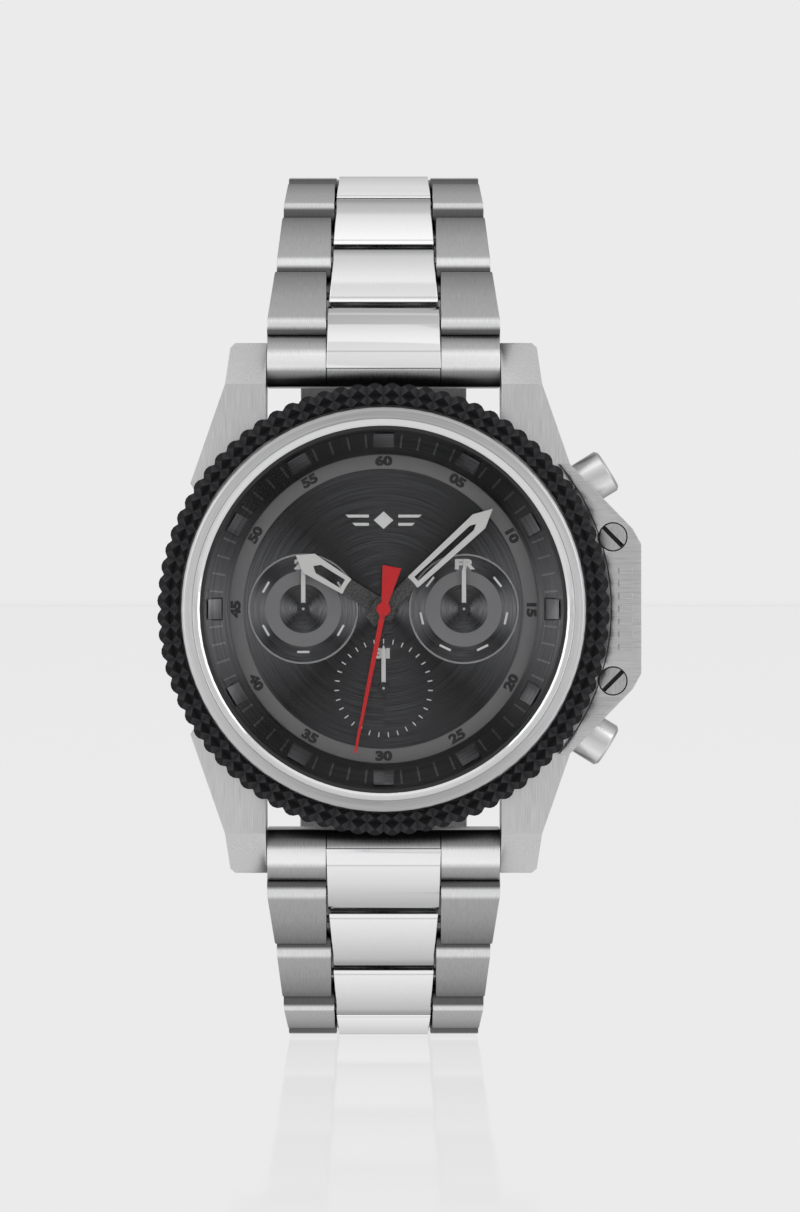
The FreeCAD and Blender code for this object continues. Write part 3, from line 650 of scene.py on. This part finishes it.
def middle_outline(pitch):
    crown = sizes().middle_crown / MM
    near_radius = KNUCKLE + CENTRE_GAP
    high = cut_angle(LINK_OUTER - crown, near_radius)
    low = cut_angle(LINK_INNER, near_radius)
    points = arc_points((0, 0), near_radius, -low, high, 8)
    far_high = cut_angle(LINK_OUTER - crown, KNUCKLE)
    far_low = cut_angle(LINK_INNER, KNUCKLE)
    start = points[-1][0]
    end = pitch + KNUCKLE * math.cos(math.radians(far_high))
    bevel = 0.35
    points += crown_line(start + bevel, end, crown, 14)[0:-1]
    points += arc_points((pitch, 0), KNUCKLE, far_high, -far_low, 12)
    return points


def row_piece(name, outline, edges, start, along, out, material, body):
    """Sweeps an outline of (along, out) points across the band between edges(u) = (low x, high x)."""
    def section(pick):
        def place(u, n):
            point = start + along * u + out * n
            return (edges(u)[pick], point.x, point.y)
        return place
    piece = mesh_piece(name, swept(outline, [section(0), section(1)]), material, body)
    layer = piece.data.uv_layers.new(name="row")
    for loop in piece.data.loops:
        spot = Vector(piece.data.vertices[loop.vertex_index].co.yz) / MM - start
        layer.data[loop.index].uv = ((spot.dot(along) + 3.0) / 12.0, (spot.dot(out) + 2.0) / 4.0)
    round_edges(piece, sizes().link_edge, 3)
    return piece


def build_row(node, row, start, end, side, last):
    along, out = row_frame(start, end, side)
    pitch = (end - start).length
    near, far = band_half(row - 1), band_half(row)
    centre_near = middle_half(row)
    centre_far = middle_half(row + 1) - 0.15
    inside = centre_near + 0.06

    def right_edges(u):
        return inside, near + (far - near) * max(u, 0.0) / pitch

    def left_edges(u):
        low, high = right_edges(u)
        return -high, -low

    def middle_edges(u):
        half = centre_near + (centre_far - centre_near) * min(u / pitch, 1.0)
        return -half, half
    outline = side_outline(pitch, last)
    # brushed sides: painted highlight on the rounded nose at the case end, painted shade towards the far end
    # and inside the gaps
    brushed = row_steel_painted_light("brushed row steel", tuple(colours().brushed),
                        [(-1.3, 0.25), (-0.95, 1.55), (-0.3, 1.6), (0.15, 0.85), (2.5, 0.72), (4.6, 0.48),
                         (5.4, 0.32)],
                        [(-1.6, 0.8), (-1.2, 0.4), (0.4, 0.05), (1.05, 1.0)], (0.24, 0.38, 0.14, 0.3))
    # polished middles: painted reflection band with a thin darker line, painted fall-off towards the far end,
    # painted shade inside the gaps
    bright = row_steel_painted_light("polished row steel", tuple(colours().polished),
                       [(1.7, 1.15), (2.35, 1.15), (2.46, 0.72), (2.6, 1.12), (4.6, 0.95), (7.2, 0.68),
                        (7.8, 0.45)],
                       [(-1.6, 0.9), (-1.2, 0.4), (0.75, 0.03), (1.25, 1.0)], (0.07, 0.14, 0.03, 0.05))
    pieces = [
        row_piece(node + "_right", outline, right_edges, start, along, out, brushed, node),
        row_piece(node + "_left", outline, left_edges, start, along, out, brushed, node),
        row_piece(node + "_middle", middle_outline(pitch), middle_edges, start, along, out, bright,
                  node),
    ]
    pins = []
    for u, radius, half in ((0.0, 0.5, near - 0.02), (pitch / 2, 0.4, inside + 2.4)):
        circle = arc_points((u, 0), radius, 0, 360 - 22.5, 15)
        pins.append(swept(circle, [
            (lambda a, b, x=x: (x, *(start + along * a + out * b))) for x in (-half, half)]))
    # pins painted near-black as painted shade inside the hinge gaps
    pin_steel_painted_dark = lacquer("pin steel", (0.1, 0.1, 0.1), 0.3, 0.5, 1.0)
    pin = mesh_piece(node + "_pins", join_parts(pins), pin_steel_painted_dark, node)
    round_edges(pin, 0.08 * MM, 2)
    for piece in pieces + [pin]:
        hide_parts(node)


def bracelet_rows():
    """Every row with its hinge and the hinge of the next row."""
    rows = []
    for prefix, side, after in (("link_12_", 1, "clasp_end_hinge"), ("link_6_", -1, None)):
        names = sorted(name for name in frame["nodes"] if name.startswith(prefix))
        for i, node in enumerate(names):
            start = hinge_point(node + "_hinge")
            if i + 1 < len(names):
                end = hinge_point(names[i + 1] + "_hinge")
            elif after:
                end = hinge_point(after)
            else:
                tilt = HINGES[node + "_hinge"]["range_deg"][1]
                previous = start - hinge_point(names[i - 1] + "_hinge")
                turn = math.radians(tilt)
                c, s = math.cos(turn), math.sin(turn)
                end = start + Vector((previous.x * c - previous.y * s, previous.x * s + previous.y * c))
            rows.append((node, i + 1, start, end, side, after is None and i + 1 == len(names)))
    return rows


class WATCH_OT_bracelet(bpy.types.Operator):
    """Build the brushed side pieces, polished middle pieces and pins of every bracelet row"""
    bl_idname = "watch.bracelet"
    bl_label = "Bracelet rows"

    def execute(self, context):
        for node, row, start, end, side, last in bracelet_rows():
            build_row(node, row, start, end, side, last)
        return {"FINISHED"}


class WATCH_OT_end_links(bpy.types.Operator):
    """Finish the end links: brushed shoulders round a polished tongue, with painted highlights and painted
    shade in their colour
    """
    bl_idname = "watch.end_links"
    bl_label = "End links"

    def execute(self, context):
        def build(label):
            dull, bright = tuple(colours().brushed), tuple(colours().polished)
            tree, shader, place = blank_material(label, dull, 1.0, 0.3)
            lines = add_group(tree, straight_brushing(), place, Scale=(45000.0, 1500.0, 1500.0),
                              Low=0.24, High=0.4)
            parts = split(tree, place)
            wide = math_node(tree, "ABSOLUTE", parts[0])
            far = math_node(tree, "ABSOLUTE", parts[2])
            narrow = math_node(tree, "LESS_THAN", wide, 5.875 * MM)
            tongue = math_node(tree, "MULTIPLY", narrow, math_node(tree, "GREATER_THAN", far, 24.62 * MM))
            seam = math_node(tree, "COMPARE", wide, 5.87 * MM, 0.06 * MM)
            # painted shade at the lower edge, painted highlight on the crest, painted fall-off beyond
            shoulder_painted_light = ramp(tree, far, 22.7 * MM, 29.0 * MM, [
                (22.75 * MM, 0.04), (23.5 * MM, 0.15), (24.3 * MM, 0.7), (24.9 * MM, 2.3), (26.0 * MM, 2.2),
                (26.7 * MM, 0.9), (27.9 * MM, 0.5)])
            # painted highlight along the tongue, with a thin darker line and a painted fall-off at its far
            # end
            tongue_painted_light = ramp(tree, far, 24.0 * MM, 32.0 * MM, [
                (24.7 * MM, 1.15), (26.25 * MM, 1.15), (26.36 * MM, 0.75), (26.5 * MM, 1.1),
                (28.2 * MM, 0.95), (30.6 * MM, 0.6)])
            streaks = graded(tree, lines, dull, 0.86, 1.14)
            dark_seam = mix_colour(tree, seam, times(tree, streaks, shoulder_painted_light), (0.02, 0.02, 0.02))
            flat = tree.nodes.new("ShaderNodeRGB")
            flat.outputs[0].default_value = (*bright, 1.0)
            link(tree, mix_colour(tree, tongue, dark_seam, times(tree, flat.outputs[0], tongue_painted_light)),
                 shader.inputs["Base Color"])
            less = math_node(tree, "MULTIPLY", tongue, -0.2)
            link(tree, math_node(tree, "ADD", lines.outputs["Roughness"], less), shader.inputs["Roughness"])
            rest = math_node(tree, "SUBTRACT", 1.0, tongue)
            add_bump(tree, shader, math_node(tree, "MULTIPLY", rest, lines.outputs["Height"]), 0.3, 0.004)
        material = cached("end link steel", build)
        for node in ("end_link_12", "end_link_6"):
            paint_cad(node, material, sizes().link_edge, 3)
        paint_cad("lug_spring_bars", polished_steel())
        return {"FINISHED"}


# ---- case ----
class WATCH_OT_case(bpy.types.Operator):
    """Finish the middle case, case back, guard and its screws"""
    bl_idname = "watch.case"
    bl_label = "Case and guard"

    def execute(self, context):
        brushed = brushed_steel("brushed case steel", (26000.0, 9000.0, 350.0), 1.25)
        paint_cad("case_middle", brushed, sizes().case_edge, 3)
        guard_steel = brushed_steel("brushed guard steel", (350.0, 9000.0, 26000.0), 1.1)
        paint_cad("crown_guard", guard_steel, 0.1 * MM, 2)
        paint_cad("guard_screws", self.screw_steel(), 0.05 * MM, 2)
        back = plating_with_painted_wedges("case back steel", tuple(colours().brushed), highlight_lift=0.2, metallic=1.0)
        paint_cad("case_back", back, 0.12 * MM, 2)
        for node in ("case_back_gasket", "crystal_gasket"):
            paint_cad(node, lacquer("gasket rubber", (0.02, 0.02, 0.02), 0.6, 0.8))
        return {"FINISHED"}

    def screw_steel(self):
        """Brushed heads whose slots are painted dark with depth as painted shade."""
        def build(label):
            colour = tuple(colours().brushed)
            tree, shader, place = blank_material(label, colour, 1.0, 0.35)
            lines = add_surface(tree, shader, straight_brushing(), place, Scale=(20000.0, 9000.0, 2000.0),
                                Low=0.3, High=0.45)
            parts = split(tree, place)
            # painted shade: the slots darken to near-black below the head's face
            depth = ramp(tree, parts[1], -8.6 * MM, -7.5 * MM,
                         [(-8.5 * MM, 1.0), (-8.42 * MM, 0.9), (-8.3 * MM, 0.06), (-7.6 * MM, 0.03)])
            streaks = graded(tree, lines, colour, 0.75, 1.1)
            link(tree, times(tree, depth, streaks), shader.inputs["Base Color"])
            add_bump(tree, shader, lines.outputs["Height"], 0.3, 0.004)
        return cached("screw steel", build)


class WATCH_OT_rings(bpy.types.Operator):
    """Finish the knurled ring and the plain bezel, and fit the crystal"""
    bl_idname = "watch.rings"
    bl_label = "Rings and crystal"

    def execute(self, context):
        paint_cad("knurled_ring", ring_plating_painted_facets())
        paint_cad("bezel_ring", bezel_steel(), 0.04 * MM, 2)
        paint_cad("crystal", crystal_glass())
        return {"FINISHED"}


class WATCH_OT_controls(bpy.types.Operator):
    """Finish the crown, stem, pushers, springs and tubes"""
    bl_idname = "watch.controls"
    bl_label = "Crown and pushers"

    def execute(self, context):
        paint_cad("crown", polished_steel(), 0.08 * MM, 2)
        for node in ("pusher_upper", "pusher_lower"):
            paint_cad(node, self.satin_steel(), 0.1 * MM, 3)
        for node in ("winding_stem", "setting_lever", "case_tubes", "pusher_springs"):
            paint_cad(node, lacquer("drawn steel", (0.5, 0.5, 0.51), 0.25, 0.4, 1.0))
        return {"FINISHED"}

    def satin_steel(self):
        """Fine satin steel with painted light: painted lighter where it faces forward or back, painted darker
        round its sides.
        """
        def build(label):
            colour = tuple(colours().polished)
            tree, shader, place = blank_material(label, colour, 1.0, 0.28)
            grain = add_surface(tree, shader, fine_grain(), place, Scale=25000.0, Low=0.2, High=0.34)
            facing = tree.nodes.new("ShaderNodeNewGeometry")
            parts = split(tree, facing.outputs["Normal"])
            painted_light_facing = math_node(tree, "ABSOLUTE", parts[1])
            # painted light: a painted highlight near facing forward or back, painted shade round the sides
            tone = ramp(tree, painted_light_facing, 0.0, 1.0,
                        [(0.0, 0.3), (0.35, 0.3), (0.7, 0.75), (0.88, 1.05), (1.0, 0.8)])
            streaks = graded(tree, grain, colour, 0.9, 1.05)
            link(tree, times(tree, tone, streaks), shader.inputs["Base Color"])
            add_bump(tree, shader, grain.outputs["Height"], 0.15, 0.004)
        return cached("satin steel", build)


# ---- dial ----
DIAL_TOP = 7.9
CHAPTER_TOP = 8.2
NUMERAL_RADIUS = 15.06
SUB_DIALS = {"hand_24h": (-8.2, 0.0), "hand_day": (8.2, 0.0), "hand_date": (0.0, -8.1)}


def pale_print():
    return lacquer("pale print", (0.6, 0.6, 0.6), 0.5, 0.7)


def text_piece(name, words, height, place, turn, material):
    """Generic figures lying on the dial; place is (x, height, z), turn clockwise in degrees."""
    curve = bpy.data.curves.new(name, "FONT")
    curve.body = words
    curve.align_x = "CENTER"
    curve.align_y = "CENTER"
    curve.size = height * 1.38
    curve.offset = 0.09 * height
    curve.extrude = 0.0
    curve.resolution_u = 3
    holder = add_object(name, curve)
    bpy.context.view_layer.update()
    mesh = bpy.data.meshes.new_from_object(holder.evaluated_get(bpy.context.evaluated_depsgraph_get()))
    bpy.data.objects.remove(holder)
    angle = math.radians(turn)
    c, s = math.cos(angle), math.sin(angle)
    x0, h0, z0 = place
    for vertex in mesh.vertices:
        a, b = 1.32 * vertex.co.x, vertex.co.y
        vertex.co = Vector((x0 + a * c + b * s, -h0, z0 - a * s + b * c)) * MM
    mesh.materials.clear()
    mesh.materials.append(material)
    piece = add_object(name, mesh)
    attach(piece, "head")


class WATCH_OT_dial(bpy.types.Operator):
    """Finish the dial, its raised rings, the sloping minute ring and the hour blocks"""
    bl_idname = "watch.dial"
    bl_label = "Dial"

    def execute(self, context):
        tone = tuple(colours().dial)
        paint_cad("dial", plating_with_painted_wedges("dial plating", tone, highlight_lift=1.4))
        paint_cad("dial_rings", self.ring_finish(), 0.03 * MM, 2)
        paint_cad("rehaut_ring", plating_with_painted_wedges("slope plating", shade(tone, 0.6), highlight_lift=4.0, rough=0.4))
        paint_cad("hour_markers", plating_with_painted_wedges("marker plating", shade(tone, 1.9), highlight_lift=1.2), 0.07 * MM, 2)
        slope_in, slope_out = 8.98, 10.26
        bars = [radial_bar(16.5, 17.8, 0.2, 6 * i, slope_in, slope_out, 0.16) for i in range(60) if i % 5]
        # painted shade: a thin black sheet under each hour block shows as a dark outline round it
        frames = [radial_bar(16.36, 17.94, 2.34, 30 * i, slope_in - 0.1, slope_out + 0.1, 0.05)
                  for i in range(12)]
        plating = plating_with_painted_wedges("bar plating", shade(tone, 1.9), highlight_lift=1.6)
        shadow = lacquer("frame black", (0.006, 0.006, 0.006), 0.4, 0.6)
        for name, shapes, finish in (("minute_bars", bars, plating), ("marker_shade_sheets", frames, shadow)):
            piece = mesh_piece(name, join_parts(shapes), finish, "head")
        self.emblem()
        return {"FINISHED"}

    def ring_finish(self):
        def build(label):
            grey, bright = (0.13, 0.13, 0.133), tuple(colours().polished)
            tree, shader, place = blank_material(label, grey, 0.3, 0.5)
            rings = add_group(tree, round_brushing(), place, Lines=9000.0)
            chapter = math_node(tree, "GREATER_THAN", rings.outputs["Distance"], 14.2 * MM)
            grain = add_group(tree, fine_grain(), place, Scale=12000.0)
            matte = graded(tree, grain, grey, 0.85, 1.15)
            link(tree, mix_colour(tree, chapter, shade(bright, 0.3), matte), shader.inputs["Base Color"])
            link(tree, math_node(tree, "MULTIPLY_ADD", chapter, -1.0, 1.0), shader.inputs["Metallic"])
            link(tree, math_node(tree, "MULTIPLY_ADD", chapter, 0.35, 0.15), shader.inputs["Roughness"])
        return cached("raised ring finish", build)

    def emblem(self):
        """A plain diamond between four bars, in place of any name."""
        diamond = [(0.0, 9.95), (1.0, 9.05), (0.0, 8.15), (-1.0, 9.05)]
        parts = [slab(diamond, DIAL_TOP, DIAL_TOP + 0.16)]
        for side in (-1, 1):
            for height, reach in ((9.32, 3.9), (8.48, 3.2)):
                bar = [(side * 1.5, height + 0.3), (side * reach, height + 0.3),
                       (side * (reach - 0.3), height), (side * 1.5, height)]
                parts.append(slab(bar, DIAL_TOP, DIAL_TOP + 0.14))
        silver = lacquer("emblem silver", (0.62, 0.62, 0.62), 0.3, 0.45, 0.2)
        piece = mesh_piece("dial_emblem", join_parts(parts), silver, "head")
        round_edges(piece, 0.03 * MM, 2)


class WATCH_OT_numerals(bpy.types.Operator):
    """Print the minute numerals on the raised ring and the labels on the small dials"""
    bl_idname = "watch.numerals"
    bl_label = "Numerals"

    def execute(self, context):
        ink = lacquer("black print", (0.008, 0.008, 0.008), 0.5, 0.7)
        height = sizes().numeral_height / MM
        for i in range(12):
            clock = 30 * i
            words = "%02d" % (5 * i if i else 60)
            turn = clock - 180 if 90 < clock < 270 else clock
            x, z = (NUMERAL_RADIUS * part(math.radians(clock)) for part in (math.sin, math.cos))
            text_piece("numeral_" + words, words, height, (x, CHAPTER_TOP + 0.012, z), turn, ink)
        label = sizes().label_height / MM
        for name, words, hand in (("label_hours", "24", "hand_24h"), ("label_day", "FR", "hand_day"),
                                  ("label_date", "31", "hand_date")):
            x, z = SUB_DIALS[hand]
            rise = 4.5 if hand != "hand_date" else 3.5
            text_piece(name, words, label, (x, DIAL_TOP + 0.03, z + rise), 0, pale_print())
        return {"FINISHED"}


class WATCH_OT_small_dials(bpy.types.Operator):
    """Build the small dials' tracks, inner discs, grey rings and index marks"""
    bl_idname = "watch.small_dials"
    bl_label = "Small dials"

    def execute(self, context):
        tone = tuple(colours().dial)
        for hand, (x, z) in SUB_DIALS.items():
            centre = (x * MM, 0.0, z * MM)
            if hand == "hand_date":
                continue
            finish = plating_with_painted_wedges(hand + " track plating", shade(tone, 1.2), centre, 1.6)
            disc = flat_ring(0.45, 5.42, DIAL_TOP - 0.05, DIAL_TOP + 0.006, (x, z))
            self.add(hand + "_track", disc, finish, "dial_grey")
            band = flat_ring(2.5, 3.87, DIAL_TOP, DIAL_TOP + 0.012, (x, z))
            tab = slab([(x - 0.75, z + 3.8), (x - 0.75, z + 4.95), (x + 0.75, z + 4.95), (x + 0.75, z + 3.8)],
                       DIAL_TOP, DIAL_TOP + 0.011)
            matte = lacquer("small dial grey", (0.165, 0.165, 0.17), 0.5, 0.65)
            self.add(hand + "_band", join_parts([band, tab]), matte, "dial_grey")
        marks = []
        for hand, count, first, inner, outer, width in (
                ("hand_24h", 6, 1, 4.3, 4.52, 1.25), ("hand_day", 7, 1, 4.3, 4.52, 1.25),
                ("hand_date", 31, 0, 4.55, 5.03, 0.1)):
            for i in range(first, count):
                marks.append(radial_bar(inner, outer, width, 360.0 * i / count, DIAL_TOP, DIAL_TOP, 0.03,
                                        SUB_DIALS[hand]))
        self.add("index_marks", join_parts(marks), pale_print(), "marker_grey")
        return {"FINISHED"}

    def add(self, name, shape, material, finish_slot):
        piece = mesh_piece(name, shape, material, "head")


class WATCH_OT_hands(bpy.types.Operator):
    """Finish the hands: pale matte frames, dark textured roots, a red seconds hand"""
    bl_idname = "watch.hands"
    bl_label = "Hands"

    def execute(self, context):
        for node, root in (("hour_hand", 4.45), ("minute_hand", 4.06)):
            paint_cad(node, self.framed_finish(node, root), 0.03 * MM, 2)
        paint_cad("seconds_hand", lacquer("red lacquer", tuple(colours().red), 0.35, 0.5), 0.03 * MM, 2)
        for hand, (x, z) in SUB_DIALS.items():
            paint_cad(hand, self.small_finish(hand, z), 0.02 * MM, 2)
            cap = flat_ring(0.14, 0.64, 8.4, 8.52, (x, z), 32)
            dark = lacquer("dark cap", (0.03, 0.03, 0.032), 0.3, 0.45, 0.6)
            piece = mesh_piece(hand + "_cap", cap, dark, hand)
            round_edges(piece, 0.03 * MM, 2)
        return {"FINISHED"}

    def small_finish(self, node, centre):
        """Pale lacquer with a blackened tail below the hub."""
        def build(label):
            colour = tuple(colours().hands)
            tree, shader, place = blank_material(label, colour, 0.0, 0.45)
            grain = add_group(tree, fine_grain(), place, Scale=7000.0)
            parts = split(tree, place)
            tail = math_node(tree, "LESS_THAN", parts[2], (centre - 0.2) * MM)
            pale = graded(tree, grain, colour, 0.95, 1.1)
            link(tree, mix_colour(tree, tail, pale, (0.012, 0.012, 0.012)), shader.inputs["Base Color"])
            link(tree, grain.outputs["Roughness"], shader.inputs["Roughness"])
            add_bump(tree, shader, grain.outputs["Height"], 0.2, 0.01)
        return cached(node + " lacquer", build)

    def framed_finish(self, node, root):
        def build(label):
            colour = tuple(colours().hands)
            tree, shader, place = blank_material(label, colour, 0.0, 0.5)
            rings = add_group(tree, round_brushing(), place, Lines=200.0)
            dark = math_node(tree, "LESS_THAN", rings.outputs["Distance"], root * MM)
            grain = add_group(tree, fine_grain(), place, Scale=7000.0)
            pale = graded(tree, grain, colour, 0.93, 1.05)
            speckle = stretched(tree, grain.outputs["Height"])
            deep = mix_colour(tree, speckle, (0.004, 0.004, 0.004), (0.09, 0.09, 0.09))
            link(tree, mix_colour(tree, dark, pale, deep), shader.inputs["Base Color"])
            link(tree, grain.outputs["Roughness"], shader.inputs["Roughness"])
            add_bump(tree, shader, grain.outputs["Height"], 0.3, 0.02)
        return cached(node + " lacquer", build)


class WATCH_OT_clasp(bpy.types.Operator):
    """Finish the folding clasp and its push buttons"""
    bl_idname = "watch.clasp"
    bl_label = "Clasp"

    def execute(self, context):
        cover_steel = brushed_steel("brushed cover steel", (30000.0, 12000.0, 500.0))
        paint_cad("clasp_cover", cover_steel, 0.14 * MM, 3)
        for node in ("clasp_middle_blade", "clasp_inner_blade"):
            paint_cad(node, polished_steel(), 0.08 * MM, 2)
        for node in ("clasp_button_left", "clasp_button_right"):
            paint_cad(node, polished_steel(), 0.1 * MM, 2)
        return {"FINISHED"}


class WATCH_OT_movement(bpy.types.Operator):
    """Finish the pieces of the quartz movement inside the case"""
    bl_idname = "watch.movement"
    bl_label = "Movement"

    def execute(self, context):
        brass = lacquer("satin brass", (0.68, 0.5, 0.22), 0.25, 0.4, 1.0)
        for node in ("hour_wheel", "cannon_pinion", "minute_wheel", "main_plate"):
            paint_cad(node, brass)
        paint_cad("movement_holder", lacquer("holder plastic", (0.75, 0.75, 0.72), 0.45, 0.6))
        paint_cad("circuit_board", lacquer("board lacquer", (0.02, 0.16, 0.07), 0.35, 0.5))
        paint_cad("battery", polished_steel())
        return {"FINISHED"}


# ---- stage ----
class WATCH_OT_stage(bpy.types.Operator):
    """Set up the floor, backdrop, lights, sky and camera"""
    bl_idname = "watch.stage"
    bl_label = "Stage and camera"

    def execute(self, context):
        scene = context.scene
        scene.view_settings.view_transform = "Standard"
        self.floor()
        self.lights()
        self.sky(scene)
        camera_data = bpy.data.cameras.new("camera")
        camera = add_object("camera", camera_data)
        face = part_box("bezel_ring")[0][1]
        distance, rise = 400 * MM, 8 * MM
        frame_height = 122.672 * MM      # seen at the bezel's face
        aside, above = 1.66 * MM, 0.354 * MM
        camera.location = (0.0, face - distance, rise)
        camera.rotation_euler = (math.radians(90), 0.0, 0.0)
        camera_data.sensor_fit = "VERTICAL"
        camera_data.sensor_height = 36.0
        camera_data.lens = 36.0 * distance / frame_height
        camera_data.shift_x = aside / frame_height
        camera_data.shift_y = (above - rise) / frame_height
        camera_data.clip_start = 0.01
        scene.camera = camera
        return {"FINISHED"}

    def floor(self):
        """A floor that curves up into a backdrop."""
        low = CAD_BOX[0][2]
        reach, bend = 2.4, 0.8
        profile = [(-reach - bend, low), (reach, low)]
        for i in range(1, 13):
            angle = math.radians(90 * i / 12)
            profile.append((reach + bend * math.sin(angle), low + bend * (1 - math.cos(angle))))
        profile.append((reach + bend, low + 2 * reach))
        vertices = [(x, y, z) for x in (-reach - bend, reach + bend) for y, z in profile]
        count = len(profile)
        faces = [(i, count + i, count + i + 1, i + 1) for i in range(count - 1)]
        mesh = bpy.data.meshes.new("floor")
        mesh.from_pydata(vertices, [], faces)
        for polygon in mesh.polygons:
            polygon.use_smooth = True
        floor = add_object("floor", mesh)
        tree, shader, place = blank_material("floor paint", (0.0, 0.0, 0.0), 0.0, 0.1)
        add_surface(tree, shader, fine_grain(), place, Scale=400.0, Low=0.06, High=0.12)
        shader.inputs["IOR"].default_value = 1.04
        sheen = tree.nodes.new("ShaderNodeFresnel")
        sheen.inputs["IOR"].default_value = 1.04
        glow = mix_colour(tree, sheen.outputs[0], tuple(colours().floor), (0.0, 0.0, 0.0))
        link(tree, glow, shader.inputs["Emission Color"])
        shader.inputs["Emission Strength"].default_value = 1.0
        mesh.materials.append(bpy.data.materials["floor paint"])

    def lights(self):
        """Three softboxes, all turned to the origin; sizes in metres, power in watts."""
        for name, place, wide, high, power in (
                ("overhead softbox", (0.0, -0.3, 0.6), 0.9, 0.4, 0.25),
                ("left softbox", (-0.6, -0.3, 0.1), 0.3, 0.8, 0.8),
                ("right softbox", (0.6, -0.3, 0.1), 0.3, 0.8, 0.8)):
            data = bpy.data.lights.new(name, "AREA")
            data.shape = "RECTANGLE"
            data.size = wide
            data.size_y = high
            data.energy = power
            light = add_object(name, data)
            light.location = place
            light.rotation_euler = (-Vector(place)).to_track_quat("-Z", "Y").to_euler()

    def sky(self, scene):
        world = bpy.data.worlds.new("studio")
        world.use_nodes = True
        tree = world.node_tree
        background = tree.nodes["Background"]
        place = tree.nodes.new("ShaderNodeTexCoord")
        rise = math_node(tree, "MULTIPLY_ADD", split(tree, place.outputs["Generated"])[2], 0.5, 0.5)
        link(tree, ramp(tree, rise, 0.0, 1.0, [(0.3, 0.6), (0.8, 0.78)]), background.inputs[0])
        scene.world = world


OPERATORS = (WATCH_OT_stage, WATCH_OT_bracelet, WATCH_OT_end_links, WATCH_OT_case, WATCH_OT_rings,
             WATCH_OT_controls, WATCH_OT_dial, WATCH_OT_numerals, WATCH_OT_small_dials, WATCH_OT_hands,
             WATCH_OT_clasp, WATCH_OT_movement)


class WATCH_PT_panel(bpy.types.Panel):
    """Lists the watch's sizes, colours and building steps"""
    bl_idname = "WATCH_PT_panel"
    bl_label = "Watch"
    bl_space_type = "VIEW_3D"
    bl_region_type = "UI"
    bl_category = "Watch"

    def draw(self, context):
        for group in (context.scene.watch_sizes, context.scene.watch_colours):
            box = self.layout.box()
            for name in group.__annotations__:
                box.prop(group, name)
        for operator in OPERATORS:
            self.layout.operator(operator.bl_idname)


CLASSES = (WatchSizes, WatchColours) + OPERATORS + (WATCH_PT_panel,)


def register():
    for item in CLASSES:
        bpy.utils.register_class(item)
    bpy.types.Scene.watch_sizes = bpy.props.PointerProperty(type=WatchSizes)
    bpy.types.Scene.watch_colours = bpy.props.PointerProperty(type=WatchColours)


def unregister():
    del bpy.types.Scene.watch_sizes
    del bpy.types.Scene.watch_colours
    for item in reversed(CLASSES):
        bpy.utils.unregister_class(item)


def main():
    register()
    for operator in OPERATORS:
        group, name = operator.bl_idname.split(".")
        getattr(getattr(bpy.ops, group), name)()


if __name__ == "__main__":
    main()
